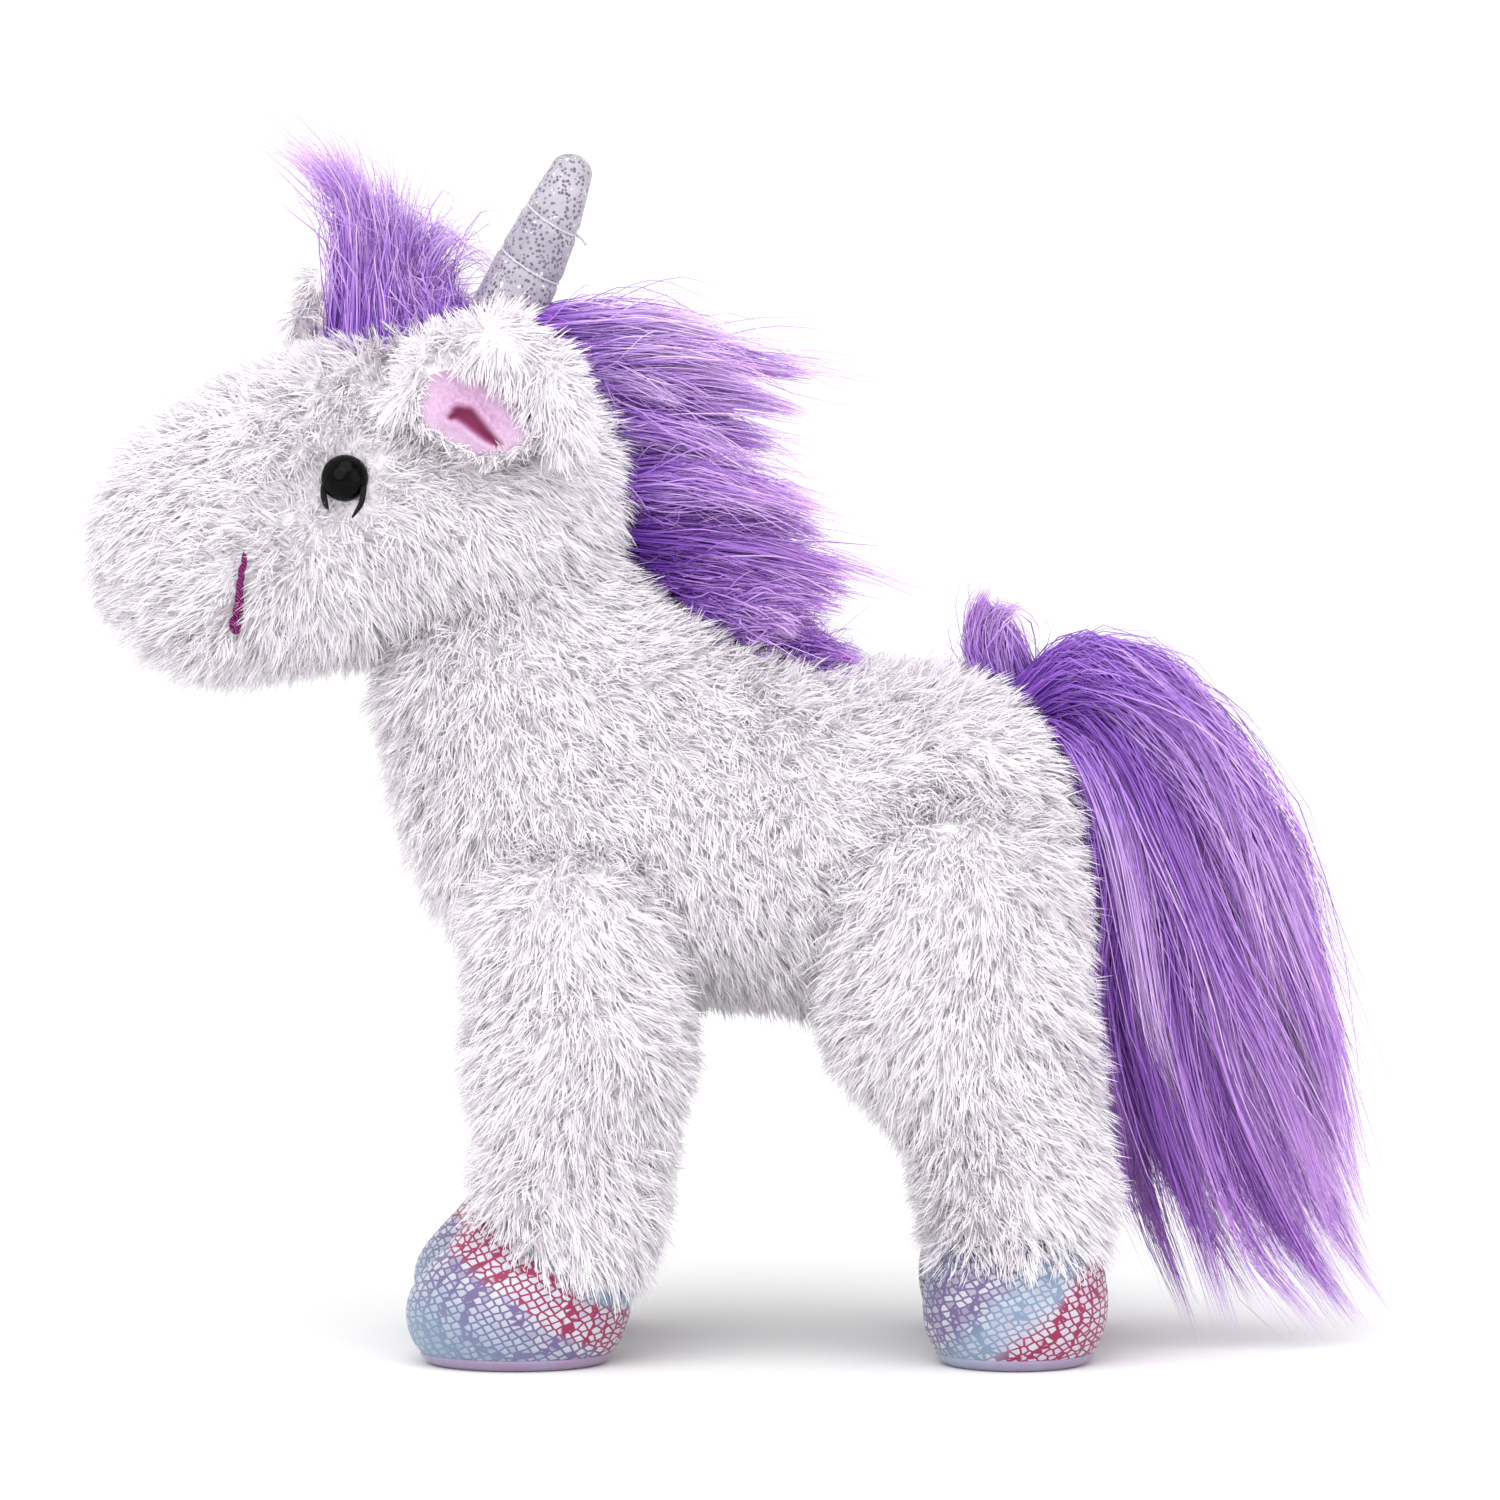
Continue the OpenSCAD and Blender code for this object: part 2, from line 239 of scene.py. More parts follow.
def mesh_object(name, points, faces, material):
    """A mesh object from millimetre points. faces is a list of arrays, each of one face size."""
    mesh = bpy.data.meshes.new(name)
    points = np.asarray(points, np.float32) * MM
    faces = [np.asarray(block, np.int32) for block in faces if len(block)]
    mesh.vertices.add(len(points))
    mesh.vertices.foreach_set("co", points.ravel())
    corners = np.concatenate([block.ravel() for block in faces])
    sizes = np.concatenate([np.full(len(block), block.shape[1], np.int32) for block in faces])
    starts = np.concatenate([[0], np.cumsum(sizes)[:-1]]).astype(np.int32)
    mesh.loops.add(len(corners))
    mesh.loops.foreach_set("vertex_index", corners)
    mesh.polygons.add(len(sizes))
    mesh.polygons.foreach_set("loop_start", starts)
    mesh.polygons.foreach_set("use_smooth", np.ones(len(sizes), bool))
    mesh.update(calc_edges=True)
    mesh.validate()
    mesh.materials.append(material)
    return new_object(name, mesh)


def mesh_arrays(piece):
    """A mesh's points in millimetres and its triangles."""
    mesh = piece.data
    mesh.calc_loop_triangles()
    points = np.empty(len(mesh.vertices) * 3, np.float32)
    mesh.vertices.foreach_get("co", points)
    triangles = np.empty(len(mesh.loop_triangles) * 3, np.int32)
    mesh.loop_triangles.foreach_get("vertices", triangles)
    return points.reshape(-1, 3).astype(float) / MM, triangles.reshape(-1, 3)


def skin_mesh(name, form, material, depth=SKIN_DEPTH, voxel=3.0):
    """The cloth under the pile: balls along each cone, joined by a remesh and settled on the form."""
    cloud = bmesh.new()
    for a, b, ra, rb in form.cones:
        count = max(2, int(np.linalg.norm(b - a) / 8) + 1)
        for step in range(count + 1):
            share = step / count
            centre = (a + (b - a) * share) * [1, form.width, 1]
            radius = ra + (rb - ra) * share - depth
            made = bmesh.ops.create_icosphere(cloud, subdivisions=3, radius=radius * MM)
            bmesh.ops.translate(cloud, verts=made["verts"], vec=Vector(centre * MM))
    mesh = bpy.data.meshes.new(name)
    cloud.to_mesh(mesh)
    cloud.free()
    piece = new_object(name, mesh)
    remesh = piece.modifiers.new("skin", "REMESH")
    remesh.mode = "VOXEL"
    remesh.voxel_size = voxel * MM
    final = bpy.data.meshes.new_from_object(piece.evaluated_get(bpy.context.evaluated_depsgraph_get()))
    piece.modifiers.clear()
    piece.data = final
    points = form.settle(mesh_arrays(piece)[0], depth)
    piece.data.vertices.foreach_set("co", (points * MM).astype(np.float32).ravel())
    piece.data.polygons.foreach_set("use_smooth", np.ones(len(piece.data.polygons), bool))
    piece.data.materials.clear()
    piece.data.materials.append(material)
    piece.data.update()
    return piece


def declare(piece, bind, replaced=()):
    """Hides the CAD nodes a piece stands for, and applies bind, which fixes the piece to its body or bakes it in
    place.
    """
    if replaced:
        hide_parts(*replaced)
    bind(piece)
    return piece


def rides(body):
    return lambda piece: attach(piece, body)


def blends():
    """Bakes a piece's place into its mesh; the piece rides no body."""
    return lambda piece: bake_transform(piece)


def ring_faces(rows, around):
    """The quads between rings of points, each ring numbered after the one before."""
    index = np.arange(rows * around).reshape(rows, around)
    turned = np.roll(index, -1, axis=1)
    return index, np.stack([index[:-1], turned[:-1], turned[1:], index[1:]], axis=-1).reshape(-1, 4)


def ringed_mesh(name, points, around, material):
    """A closed body of rings of points, capped at both ends."""
    index, quads = ring_faces(len(points) // around, around)
    return mesh_object(name, points, [quads, index[:1, ::-1], index[-1:]], material)


def faces_out(piece):
    """Turns all faces outwards."""
    shell = bmesh.new()
    shell.from_mesh(piece.data)
    bmesh.ops.recalc_face_normals(shell, faces=shell.faces)
    shell.to_mesh(piece.data)
    shell.free()


def set_uv(piece, uv):
    """Stores two values per vertex, for the material to read, in the OFBake layer."""
    corners = np.empty(len(piece.data.loops), np.int32)
    piece.data.loops.foreach_get("vertex_index", corners)
    layer = piece.data.uv_layers.new(name="OFBake")
    layer.data.foreach_set("uv", uv[corners].astype(np.float32).ravel())


# ---- strands


def ribbons(name, paths, widths, facing, tint, material):
    """Tapered ribbons along paths (strand, ring, xyz), broad side turned to facing, coloured by tint.

    The UV layer holds the tint across and the way from root to tip along, for the material to read."""
    count, rings = paths.shape[:2]
    heading = unit(np.gradient(paths, axis=1))
    across = unit(np.cross(heading, facing))
    half = across * (widths / 2)[..., None]
    left, right = paths[:, :-1] - half[:, :-1], paths[:, :-1] + half[:, :-1]
    body = np.stack([left, right], axis=2).reshape(count, -1, 3)
    points = np.concatenate([body, paths[:, -1:]], axis=1)
    per = points.shape[1]
    first = (np.arange(count) * per)[:, None]
    quads = [first + [2 * k, 2 * k + 1, 2 * k + 3, 2 * k + 2] for k in range(rings - 2)]
    quads = np.stack(quads, axis=1).reshape(-1, 4)
    tips = first + [2 * (rings - 2), 2 * (rings - 2) + 1, 2 * (rings - 1)]
    piece = mesh_object(name, points.reshape(-1, 3), [quads, tips], material)
    along = np.repeat(np.linspace(0.02, 0.98, rings), 2)[:per]
    sideways = np.tile([-0.008, 0.008], rings)[:per]
    sideways[-1] = 0
    uv = np.empty((count, per, 2), np.float32)
    uv[..., 0] = np.clip(tint, 0.02, 0.98)[:, None] + sideways
    uv[..., 1] = along
    set_uv(piece, uv.reshape(-1, 2))
    return piece


def scatter(points, triangles, density, random):
    """Points spread evenly over triangles, at a density per square millimetre."""
    a, b, c = (points[triangles[:, k]] for k in range(3))
    areas = np.linalg.norm(np.cross(b - a, c - a), axis=1) / 2
    total = areas.sum()
    count = int(total * density)
    chosen = random.choice(len(areas), count, p=areas / total)
    u, v = random.random((2, count))
    flip = u + v > 1
    u[flip], v[flip] = 1 - u[flip], 1 - v[flip]
    u, v = u[:, None], v[:, None]
    return a[chosen] * (1 - u - v) + b[chosen] * u + c[chosen] * v


def nearest(targets, points):
    """The index of the nearest target to each point."""
    tree = kdtree.KDTree(len(targets))
    for index, place in enumerate(targets):
        tree.insert(place, index)
    tree.balance()
    return np.array([tree.find(place)[1] for place in points])


def pile(name, roots, normals, flow, length, tuft=3.0, lean=0.62, gather=0.34, shade=0.0):
    """Short shaggy pile: strands lean along flow and gather into tufts at their tips."""
    random = seeded(name)
    count = len(roots)
    tuft_count = max(8, int(count / (tuft * tuft * 1.1)))
    heads = random.choice(count, tuft_count, replace=False)
    mine = nearest(roots[heads], roots)
    tuft_turn = random.normal(0, 0.36, (tuft_count, 3))
    tuft_size = random.normal(1, 0.13, tuft_count)
    start = unit(normals + flow * lean + tuft_turn[mine] + random.normal(0, 0.24, (count, 3)))
    lift = (start * normals).sum(1, keepdims=True)
    start = unit(start + normals * np.clip(0.35 - lift, 0, 1))
    bend = flow * 0.3 + random.normal(0, 0.28, (count, 3)) + [0, 0, -0.18]
    reach = (length * tuft_size[mine] * random.uniform(0.72, 1.12, count))[:, None]
    steps = np.array([0, 0.38, 0.72, 1.0])
    paths = np.empty((count, len(steps), 3))
    for k, t in enumerate(steps):
        paths[:, k] = roots + reach * (start * t + bend * (0.5 * t * t))
    gathered = paths[heads]
    for k, t in enumerate(steps):
        paths[:, k] += (gathered[mine, k] - paths[:, k]) * (gather * t**1.5)
    facing = unit(normals + random.normal(0, 0.55, (count, 3)))
    widths = PILE_WIDTH * random.uniform(0.75, 1.25, (count, 1)) * np.array([[0.9, 1.0, 0.72, 0]])
    # shade lowers every strand's tint: painted shade that dims pile which catches more light than the rest, as on the
    # ears.
    tint = np.clip(0.5 - shade + 0.16 * random.standard_normal(tuft_count)[mine]
                   + 0.14 * random.standard_normal(count), 0, 1)
    return ribbons(name, paths, widths, facing[:, None, :], tint, WHITE_FUR)


def smooth_paths(controls, places):
    """Points at places from 0 to 1 along smooth curves through each row of controls."""
    count = controls.shape[1]
    spot = np.clip(places, 0, 1) * (count - 1)
    first = np.minimum(spot.astype(int), count - 2)
    share = (spot - first)[..., None]
    rows = np.arange(len(controls))[:, None]
    ends = [np.clip(first + k, 0, count - 1) for k in (-1, 0, 1, 2)]
    before, here, there, after = (controls[rows, k] for k in ends)
    return 0.5 * (2 * here + (there - before) * share
                  + (2 * before - 5 * here + 4 * there - after) * share**2
                  + (3 * here - before - 3 * there + after) * share**3)


def locks(name, controls, spread, strands, tints, width=0.36, rings=9, frizz=1.9, stray=0.1, short=0.5):
    """Long hair: each row of controls is the middle of one lock, spread its radius from root to tip."""
    random = seeded(name)
    lock = np.repeat(np.arange(len(controls)), strands)
    count = len(lock)
    reach = 1 - short * random.random(count) ** 1.2
    along = np.linspace(0, 1, rings)
    places = reach[:, None] * along
    centre = smooth_paths(controls[lock], places)
    aside = unit(random.normal(0, 1, (count, 3))) * random.random((count, 1)) ** 0.45
    profile = np.interp(places, np.linspace(0, 1, len(spread)), spread)
    size = random.uniform(0.8, 1.2, len(controls))[lock]
    paths = centre + aside[:, None, :] * (profile * size[:, None])[..., None]
    sway = unit(random.normal(0, 1, (count, 3))) * np.where(random.random(count) < stray, 3.6, 1.0)[:, None]
    phase, pace = random.uniform(0, 6.28, (count, 1)), random.uniform(2, 6, (count, 1))
    wave = np.sin(phase + pace * along) - np.sin(phase)
    paths += sway[:, None, :] * (frizz * wave * along**0.7)[..., None]
    paths[..., 2] = np.clip(paths[..., 2], FLOOR_CLEARANCE, HAIR_TOP)
    facing = unit(random.normal(0, 1, (count, 3)))
    taper = np.array([[0.9] + [1.0] * (rings - 4) + [0.8, 0.55, 0]])
    widths = width * random.uniform(0.7, 1.2, (count, 1)) * taper
    tint = np.clip(np.asarray(tints)[lock] + 0.13 * random.standard_normal(count), 0, 1)
    return ribbons(name, paths, widths, facing[:, None, :], tint, PURPLE_HAIR)


# ---- materials


def new_material(name):
    material = bpy.data.materials.new(name)
    material.use_nodes = True
    tree = material.node_tree
    return material, tree, tree.nodes["Principled BSDF"]


def ramp(tree, factor, stops):
    """A colour ramp over (position, colour) stops."""
    node = tree.nodes.new("ShaderNodeValToRGB")
    elements = node.color_ramp.elements
    while len(elements) < len(stops):
        elements.new(0.5)
    for element, (place, colour) in zip(elements, stops):
        element.position = place
        element.color = (*colour, 1)
    tree.links.new(factor, node.inputs["Fac"])
    return node.outputs["Color"]


def greys(*stops):
    """Ramp stops from (position, grey) pairs."""
    return [(place, (grey,) * 3) for place, grey in stops]


def mixed(tree, factor, first, second, mode="MIX"):
    """Two colours mixed; each may be a socket or a plain colour, and factor a socket or a number."""
    node = tree.nodes.new("ShaderNodeMix")
    node.data_type = "RGBA"
    node.blend_type = mode
    for socket, value in ((node.inputs[0], factor), (node.inputs[6], first), (node.inputs[7], second)):
        if hasattr(value, "is_linked"):
            tree.links.new(value, socket)
        elif isinstance(value, (int, float)):
            socket.default_value = value
        else:
            socket.default_value = (*value, 1)
    return node.outputs[2]


def noise(tree, scale, detail=3.0, vector=None):
    node = tree.nodes.new("ShaderNodeTexNoise")
    node.inputs["Scale"].default_value = scale
    node.inputs["Detail"].default_value = detail
    if vector is not None:
        tree.links.new(vector, node.inputs["Vector"])
    return node.outputs["Fac"]


def cells(tree, scale, vector, randomness=1.0, feature="F1"):
    """A Voronoi texture, for weaves, dots and scales."""
    node = tree.nodes.new("ShaderNodeTexVoronoi")
    node.feature = feature
    node.inputs["Scale"].default_value = scale
    node.inputs["Randomness"].default_value = randomness
    tree.links.new(vector, node.inputs["Vector"])
    return node.outputs


def sums(tree, operation, socket, number, third=None):
    """One step of arithmetic on a socket."""
    node = tree.nodes.new("ShaderNodeMath")
    node.operation = operation
    tree.links.new(socket, node.inputs[0])
    node.inputs[1].default_value = number
    if third is not None:
        tree.links.new(third, node.inputs[2])
    return node.outputs[0]


def stretched(tree, value, low, high):
    """A value brought from low…high to 0…1."""
    node = tree.nodes.new("ShaderNodeMapRange")
    tree.links.new(value, node.inputs["Value"])
    node.inputs["From Min"].default_value = low
    node.inputs["From Max"].default_value = high
    return node.outputs["Result"]


def object_place(tree):
    return tree.nodes.new("ShaderNodeTexCoord").outputs["Object"]


def finish(tree, shader, colour, roughness, sheen=None, specular=None, height=None, depth=0.0, strength=0.6):
    """Sets a shader's colour and gloss, and its bump from a height."""
    tree.links.new(colour, shader.inputs["Base Color"])
    if hasattr(roughness, "is_linked"):
        tree.links.new(roughness, shader.inputs["Roughness"])
    else:
        shader.inputs["Roughness"].default_value = roughness
    if sheen is not None:
        shader.inputs["Sheen Weight"].default_value = sheen
    if specular is not None:
        shader.inputs["Specular IOR Level"].default_value = specular
    if height is not None:
        node = tree.nodes.new("ShaderNodeBump")
        node.inputs["Distance"].default_value = depth
        node.inputs["Strength"].default_value = strength
        tree.links.new(height, node.inputs["Height"])
        tree.links.new(node.outputs["Normal"], shader.inputs["Normal"])


def strand_coordinates(tree):
    """(tint, way along the strand) from the strands' UV layer."""
    uv = tree.nodes.new("ShaderNodeUVMap")
    uv.uv_map = "OFBake"
    split = tree.nodes.new("ShaderNodeSeparateXYZ")
    tree.links.new(uv.outputs["UV"], split.inputs[0])
    return split.outputs[0], split.outputs[1]


def fur_material(name, root_stops, tip_stops, roughness, sheen, specular, late=1.0):
    """Hair coloured by its tint at the root and at the tip; the higher late is, the later the tip colour comes."""
    material, tree, shader = new_material(name)
    tint, along = strand_coordinates(tree)
    root, tip = ramp(tree, tint, root_stops), ramp(tree, tint, tip_stops)
    colour = mixed(tree, sums(tree, "POWER", along, late), root, tip)
    finish(tree, shader, colour, roughness, sheen, specular)
    return material


# Painted light: the white pile's roots are painted brighter than its tips to lift the shade that falls between the
# strands, and the tips are duller where the light falls on them.
WHITE_FUR = fur_material(
    "white_pile",
    [(0.0, (0.95, 0.91, 0.95)), (0.5, (0.98, 0.95, 0.98)), (1.0, (1.0, 0.98, 1.0))],
    [(0.0, (0.80, 0.755, 0.805)), (0.5, (0.835, 0.795, 0.84)), (1.0, (0.87, 0.84, 0.88))],
    0.7, 0.08, 0.05)
PURPLE_HAIR = fur_material(
    "purple_pile",
    [(0.0, (0.065, 0.013, 0.22)), (0.5, (0.175, 0.045, 0.45)), (1.0, (0.34, 0.13, 0.64))],
    [(0.0, (0.28, 0.09, 0.50)), (0.5, (0.62, 0.33, 0.78)), (1.0, (0.90, 0.74, 0.93))],
    0.45, 0.03, 0.22, 1.6)


def cloth_material(name, colour, shade, scale, roughness=0.8, sheen=0.2):
    """Knitted backing cloth: a fine loop weave with slow colour variation."""
    material, tree, shader = new_material(name)
    place = object_place(tree)
    patches = ramp(tree, noise(tree, scale * 0.06, 4, place), [(0.3, shade), (0.7, colour)])
    weave = cells(tree, scale, place)["Distance"]
    finish(tree, shader, patches, roughness, sheen, None, weave, 0.0004)
    return material


WHITE_CLOTH = cloth_material("white_backing", (0.98, 0.95, 0.98), (0.94, 0.91, 0.95), 900)


def lining_material():
    """Pink velour that darkens to magenta inside the fold: the magenta is the velour's own colour, and its darkening
    to near black deep in the fold is painted shade.
    """
    material, tree, shader = new_material("pink_lining_velour")
    fold, edge = strand_coordinates(tree)
    nap = noise(tree, 900, 3, object_place(tree))
    velour = ramp(tree, nap, [(0.35, (0.42, 0.23, 0.40)), (0.65, (0.54, 0.34, 0.51))])
    paler = mixed(tree, ramp(tree, edge, greys((0.3, 0), (0.95, 0.7))), velour, (0.66, 0.50, 0.65))
    # inside: the fold's magenta, darkening to near black at its deepest as painted shade in the crease.
    inside = ramp(tree, fold, [(0.25, (0.44, 0.17, 0.36)), (0.55, (0.32, 0.02, 0.15)), (0.95, (0.17, 0.004, 0.06))])
    share = ramp(tree, fold, greys((0.05, 0), (0.5, 1)))
    finish(tree, shader, mixed(tree, share, paler, inside), 0.75, 0.5, None, nap, 0.0003, 0.5)
    return material


PINK_CLOTH = lining_material()
FILLING = cloth_material("polyester_filling", (0.92, 0.92, 0.92), (0.82, 0.82, 0.83), 320, 0.9)
PELLET_CLOTH = cloth_material("pellet_bag_cloth", (0.80, 0.79, 0.74), (0.70, 0.69, 0.64), 500, 0.85)
TAB_CLOTH = cloth_material("purple_backing", (0.22, 0.09, 0.42), (0.12, 0.04, 0.28), 900, 0.8)


def plastic_material(name, colour, roughness, grain, specular=None):
    """Moulded plastic with a faint grain."""
    material, tree, shader = new_material(name)
    speck = noise(tree, grain, 2, object_place(tree))
    darker = tuple(0.7 * c for c in colour)
    grained = ramp(tree, speck, [(0.35, darker), (0.65, colour)])
    finish(tree, shader, grained, roughness, None, specular, speck, 0.00005, 0.15)
    return material


EYE_PLASTIC = plastic_material("eye_gloss", (0.002, 0.0018, 0.002), 0.06, 120, 0.07)
WASHER_PLASTIC = plastic_material("washer_plastic_grain", (0.80, 0.80, 0.78), 0.5, 700)


def thread_material(name, colour, light, pitch, sheen=0.1, specular=0.3):
    """Stitching thread: diagonal plies."""
    material, tree, shader = new_material(name)
    plies = tree.nodes.new("ShaderNodeTexWave")
    plies.bands_direction = "DIAGONAL"
    plies.inputs["Scale"].default_value = pitch
    plies.inputs["Distortion"].default_value = 1.5
    tree.links.new(object_place(tree), plies.inputs["Vector"])
    twisted = ramp(tree, plies.outputs["Fac"], [(0.2, colour), (0.9, light)])
    finish(tree, shader, twisted, 0.45, sheen, specular, plies.outputs["Fac"], 0.0002)
    return material


LASH_THREAD = thread_material("black_stitching", (0.004, 0.003, 0.005), (0.02, 0.016, 0.02), 700, 0.0, 0.08)
NOSTRIL_THREAD = thread_material("purple_stitching", (0.03, 0.003, 0.035), (0.30, 0.03, 0.18), 800, 0.0, 0.12)
WRAP_THREAD = thread_material("silver_wrap", (0.42, 0.40, 0.48), (0.72, 0.70, 0.78), 900)


def horn_material():
    """Silver-lilac knit with small dark foil dots."""
    material, tree, shader = new_material("horn_foil_cloth")
    place = object_place(tree)
    dots = cells(tree, 900, place, 0.85)["Distance"]
    cloth = ramp(tree, noise(tree, 90, 3, place), [(0.3, (0.29, 0.265, 0.32)), (0.7, (0.41, 0.38, 0.43))])
    foil = ramp(tree, noise(tree, 420, 2, place),
                [(0.45, (0.10, 0.085, 0.14)), (0.58, (0.17, 0.15, 0.22)), (0.66, (0.72, 0.71, 0.78))])
    on_dot = ramp(tree, dots, greys((0.36, 1), (0.46, 0)))
    gloss = ramp(tree, dots, greys((0.22, 0.22), (0.34, 0.6)))
    finish(tree, shader, mixed(tree, on_dot, cloth, foil), gloss, 0.3, None, noise(tree, 1500, 2, place), 0.0003, 0.5)
    return material


BLUE, LILAC, MAGENTA, ICE = (0.165, 0.24, 0.345), (0.125, 0.09, 0.215), (0.24, 0.005, 0.055), (0.23, 0.30, 0.40)
FOIL = (0.48, 0.50, 0.54)
SCALES = 430  # scales of the print in a metre
WOBBLE = 4.0  # how far the zones' edges wander


def hoof_material(name, way, first, last, ground, net, foil):
    """Scale-printed cloth with bright foil cells. From first to last millimetre along way, in the side view,
    ground colours the cells, net the lines between them, and foil is how much of the cells shines."""
    material, tree, shader = new_material(name)
    place = object_place(tree)
    stretch = tree.nodes.new("ShaderNodeMapping")
    stretch.inputs["Rotation"].default_value = (0, math.radians(28), 0)
    stretch.inputs["Scale"].default_value = (1.0, 0.7, 1.35)
    tree.links.new(place, stretch.inputs["Vector"])
    edge = cells(tree, SCALES, stretch.outputs["Vector"], 0.4, "DISTANCE_TO_EDGE")["Distance"]
    cell = cells(tree, SCALES, stretch.outputs["Vector"], 0.4)["Color"]
    aim = tree.nodes.new("ShaderNodeVectorMath")
    aim.operation = "DOT_PRODUCT"
    tree.links.new(place, aim.inputs[0])
    aim.inputs[1].default_value = (way[0] / MM, 0, way[1] / MM)
    bent = sums(tree, "MULTIPLY_ADD", noise(tree, 70, 2, place), 2 * WOBBLE, aim.outputs["Value"])
    along = stretched(tree, bent, first + WOBBLE, last + WOBBLE)
    on_cell = ramp(tree, edge, greys((0.10, 0), (0.16, 1)))
    picked = ramp(tree, cell, greys((0.25, 0.35), (0.6, 1)))
    shine = mixed(tree, 1.0, on_cell, picked, "MULTIPLY")
    shine = mixed(tree, 1.0, shine, ramp(tree, along, greys(*foil)), "MULTIPLY")
    printed = mixed(tree, on_cell, ramp(tree, along, net), ramp(tree, along, ground))
    gloss = ramp(tree, on_cell, greys((0.0, 0.55), (1.0, 0.28)))
    finish(tree, shader, mixed(tree, shine, printed, FOIL), gloss, 0.15, None, edge, 0.0004, 0.5)
    return material


HORN_CLOTH = horn_material()
HOOF_PRINTS = {
    "front": hoof_material(
        "front_hoof_scale_print", (0.55, 0.83), -40, 5,
        [(0.0, BLUE), (0.35, ICE), (0.48, LILAC), (0.56, (0.52, 0.42, 0.58)), (0.76, BLUE), (1, BLUE)],
        [(0.0, BLUE), (0.36, LILAC), (0.48, LILAC), (0.54, MAGENTA), (0.74, MAGENTA), (0.80, BLUE)],
        [(0.0, 0.25), (0.30, 0.5), (0.5, 1), (0.74, 1), (0.82, 0.2)]),
    "hind": hoof_material(
        "hind_hoof_scale_print", (0.7, -0.7), 5, 60,
        [(0.0, BLUE), (0.22, BLUE), (0.30, LILAC), (0.42, LILAC), (0.52, ICE), (0.72, (0.50, 0.36, 0.52))],
        [(0.0, BLUE), (0.24, LILAC), (0.44, LILAC), (0.54, BLUE), (0.64, BLUE), (0.70, MAGENTA)],
        [(0.0, 0.2), (0.22, 0.3), (0.32, 1), (0.48, 0.9), (0.58, 0.4), (0.72, 1)]),
    "sole": cloth_material("sole_foil_cloth", (0.26, 0.33, 0.46), (0.30, 0.10, 0.22), 420, 0.4),
}

# ---- camera, floor and light


def camera():
    low, high = (np.array(corner, float) for corner in CAD_BOX)
    data = bpy.data.cameras.new("camera")
    shown = 0.384  # width of the picture at the toy's middle
    distance, elevation = 2.6, math.radians(5)
    middle = Vector((0.0005, (low[1] + high[1]) / 2, shown * 0.4))
    data.sensor_width = 36
    data.lens = data.sensor_width * distance / shown
    data.clip_end = 100
    piece = new_object("camera", data)
    aimed(piece, middle + Vector((0, -math.cos(elevation), math.sin(elevation))) * distance, middle)
    bpy.context.scene.camera = piece


def stage():
    """A wide pale floor with painted light: its colour is paler far away from the toy where no lamp reaches, and
    darker near the toy.
    """
    half = 30000
    material, tree, shader = new_material("pale_floor")
    far = tree.nodes.new("ShaderNodeVectorMath")
    far.operation = "LENGTH"
    tree.links.new(object_place(tree), far.inputs[0])
    # Painted light: the floor's colour rises from grey 0.8 within half a metre of the middle to white at 3 metres.
    share = stretched(tree, far.outputs["Value"], 0.5, 3.0)
    finish(tree, shader, mixed(tree, share, (0.80, 0.80, 0.80), (1.0, 1.0, 1.0)), 0.9)
    corners = [(-half, -half, 0), (half, -half, 0), (half, half, 0), (-half, half, 0)]
    mesh_object("floor", corners, [np.array([[0, 1, 2, 3]])], material)


def area_light(name, place, target, size, power):
    data = bpy.data.lights.new(name, "AREA")
    data.shape = "DISK"
    data.size = size
    data.energy = power
    aimed(new_object(name, data), place, target)


def light():
    world = bpy.data.worlds.new("studio")
    world.use_nodes = True
    world.node_tree.nodes["Background"].inputs["Color"].default_value = (1, 1, 1, 1)
    world.node_tree.nodes["Background"].inputs["Strength"].default_value = 1.10
    bpy.context.scene.world = world
    middle = (0, 0, 0.14)
    area_light("key", (-0.8, -1.6, 1.25), middle, 1.9, 18.5)
    area_light("fill", (1.4, -1.2, 0.7), middle, 1.8, 8)
    area_light("top", (0.1, -0.8, 1.8), middle, 1.7, 15)
    bpy.context.scene.view_settings.view_transform = "Standard"


# ---- white coats

EYE = np.array([CRANIUM[0] - 29.6, 0, CRANIUM[2] + 3])
NOSTRIL_TOP = np.array([NOSE_X + 39.5, 0, CRANIUM[2] - 17])
NOSTRIL_END = np.array([NOSE_X + 36.5, 0, CRANIUM[2] - 36])


def on_head(place, side, depth=0.0):
    """The point of the head's surface straight out to one side of a place on its middle plane."""
    reach = np.linspace(0, CRANIUM_R + 8, 240)
    column = np.array(place, float) + np.outer(reach, [0, side, 0])
    inside = HEAD.distance(column) + depth < 0
    last = np.nonzero(inside)[0].max()
    return column[last]


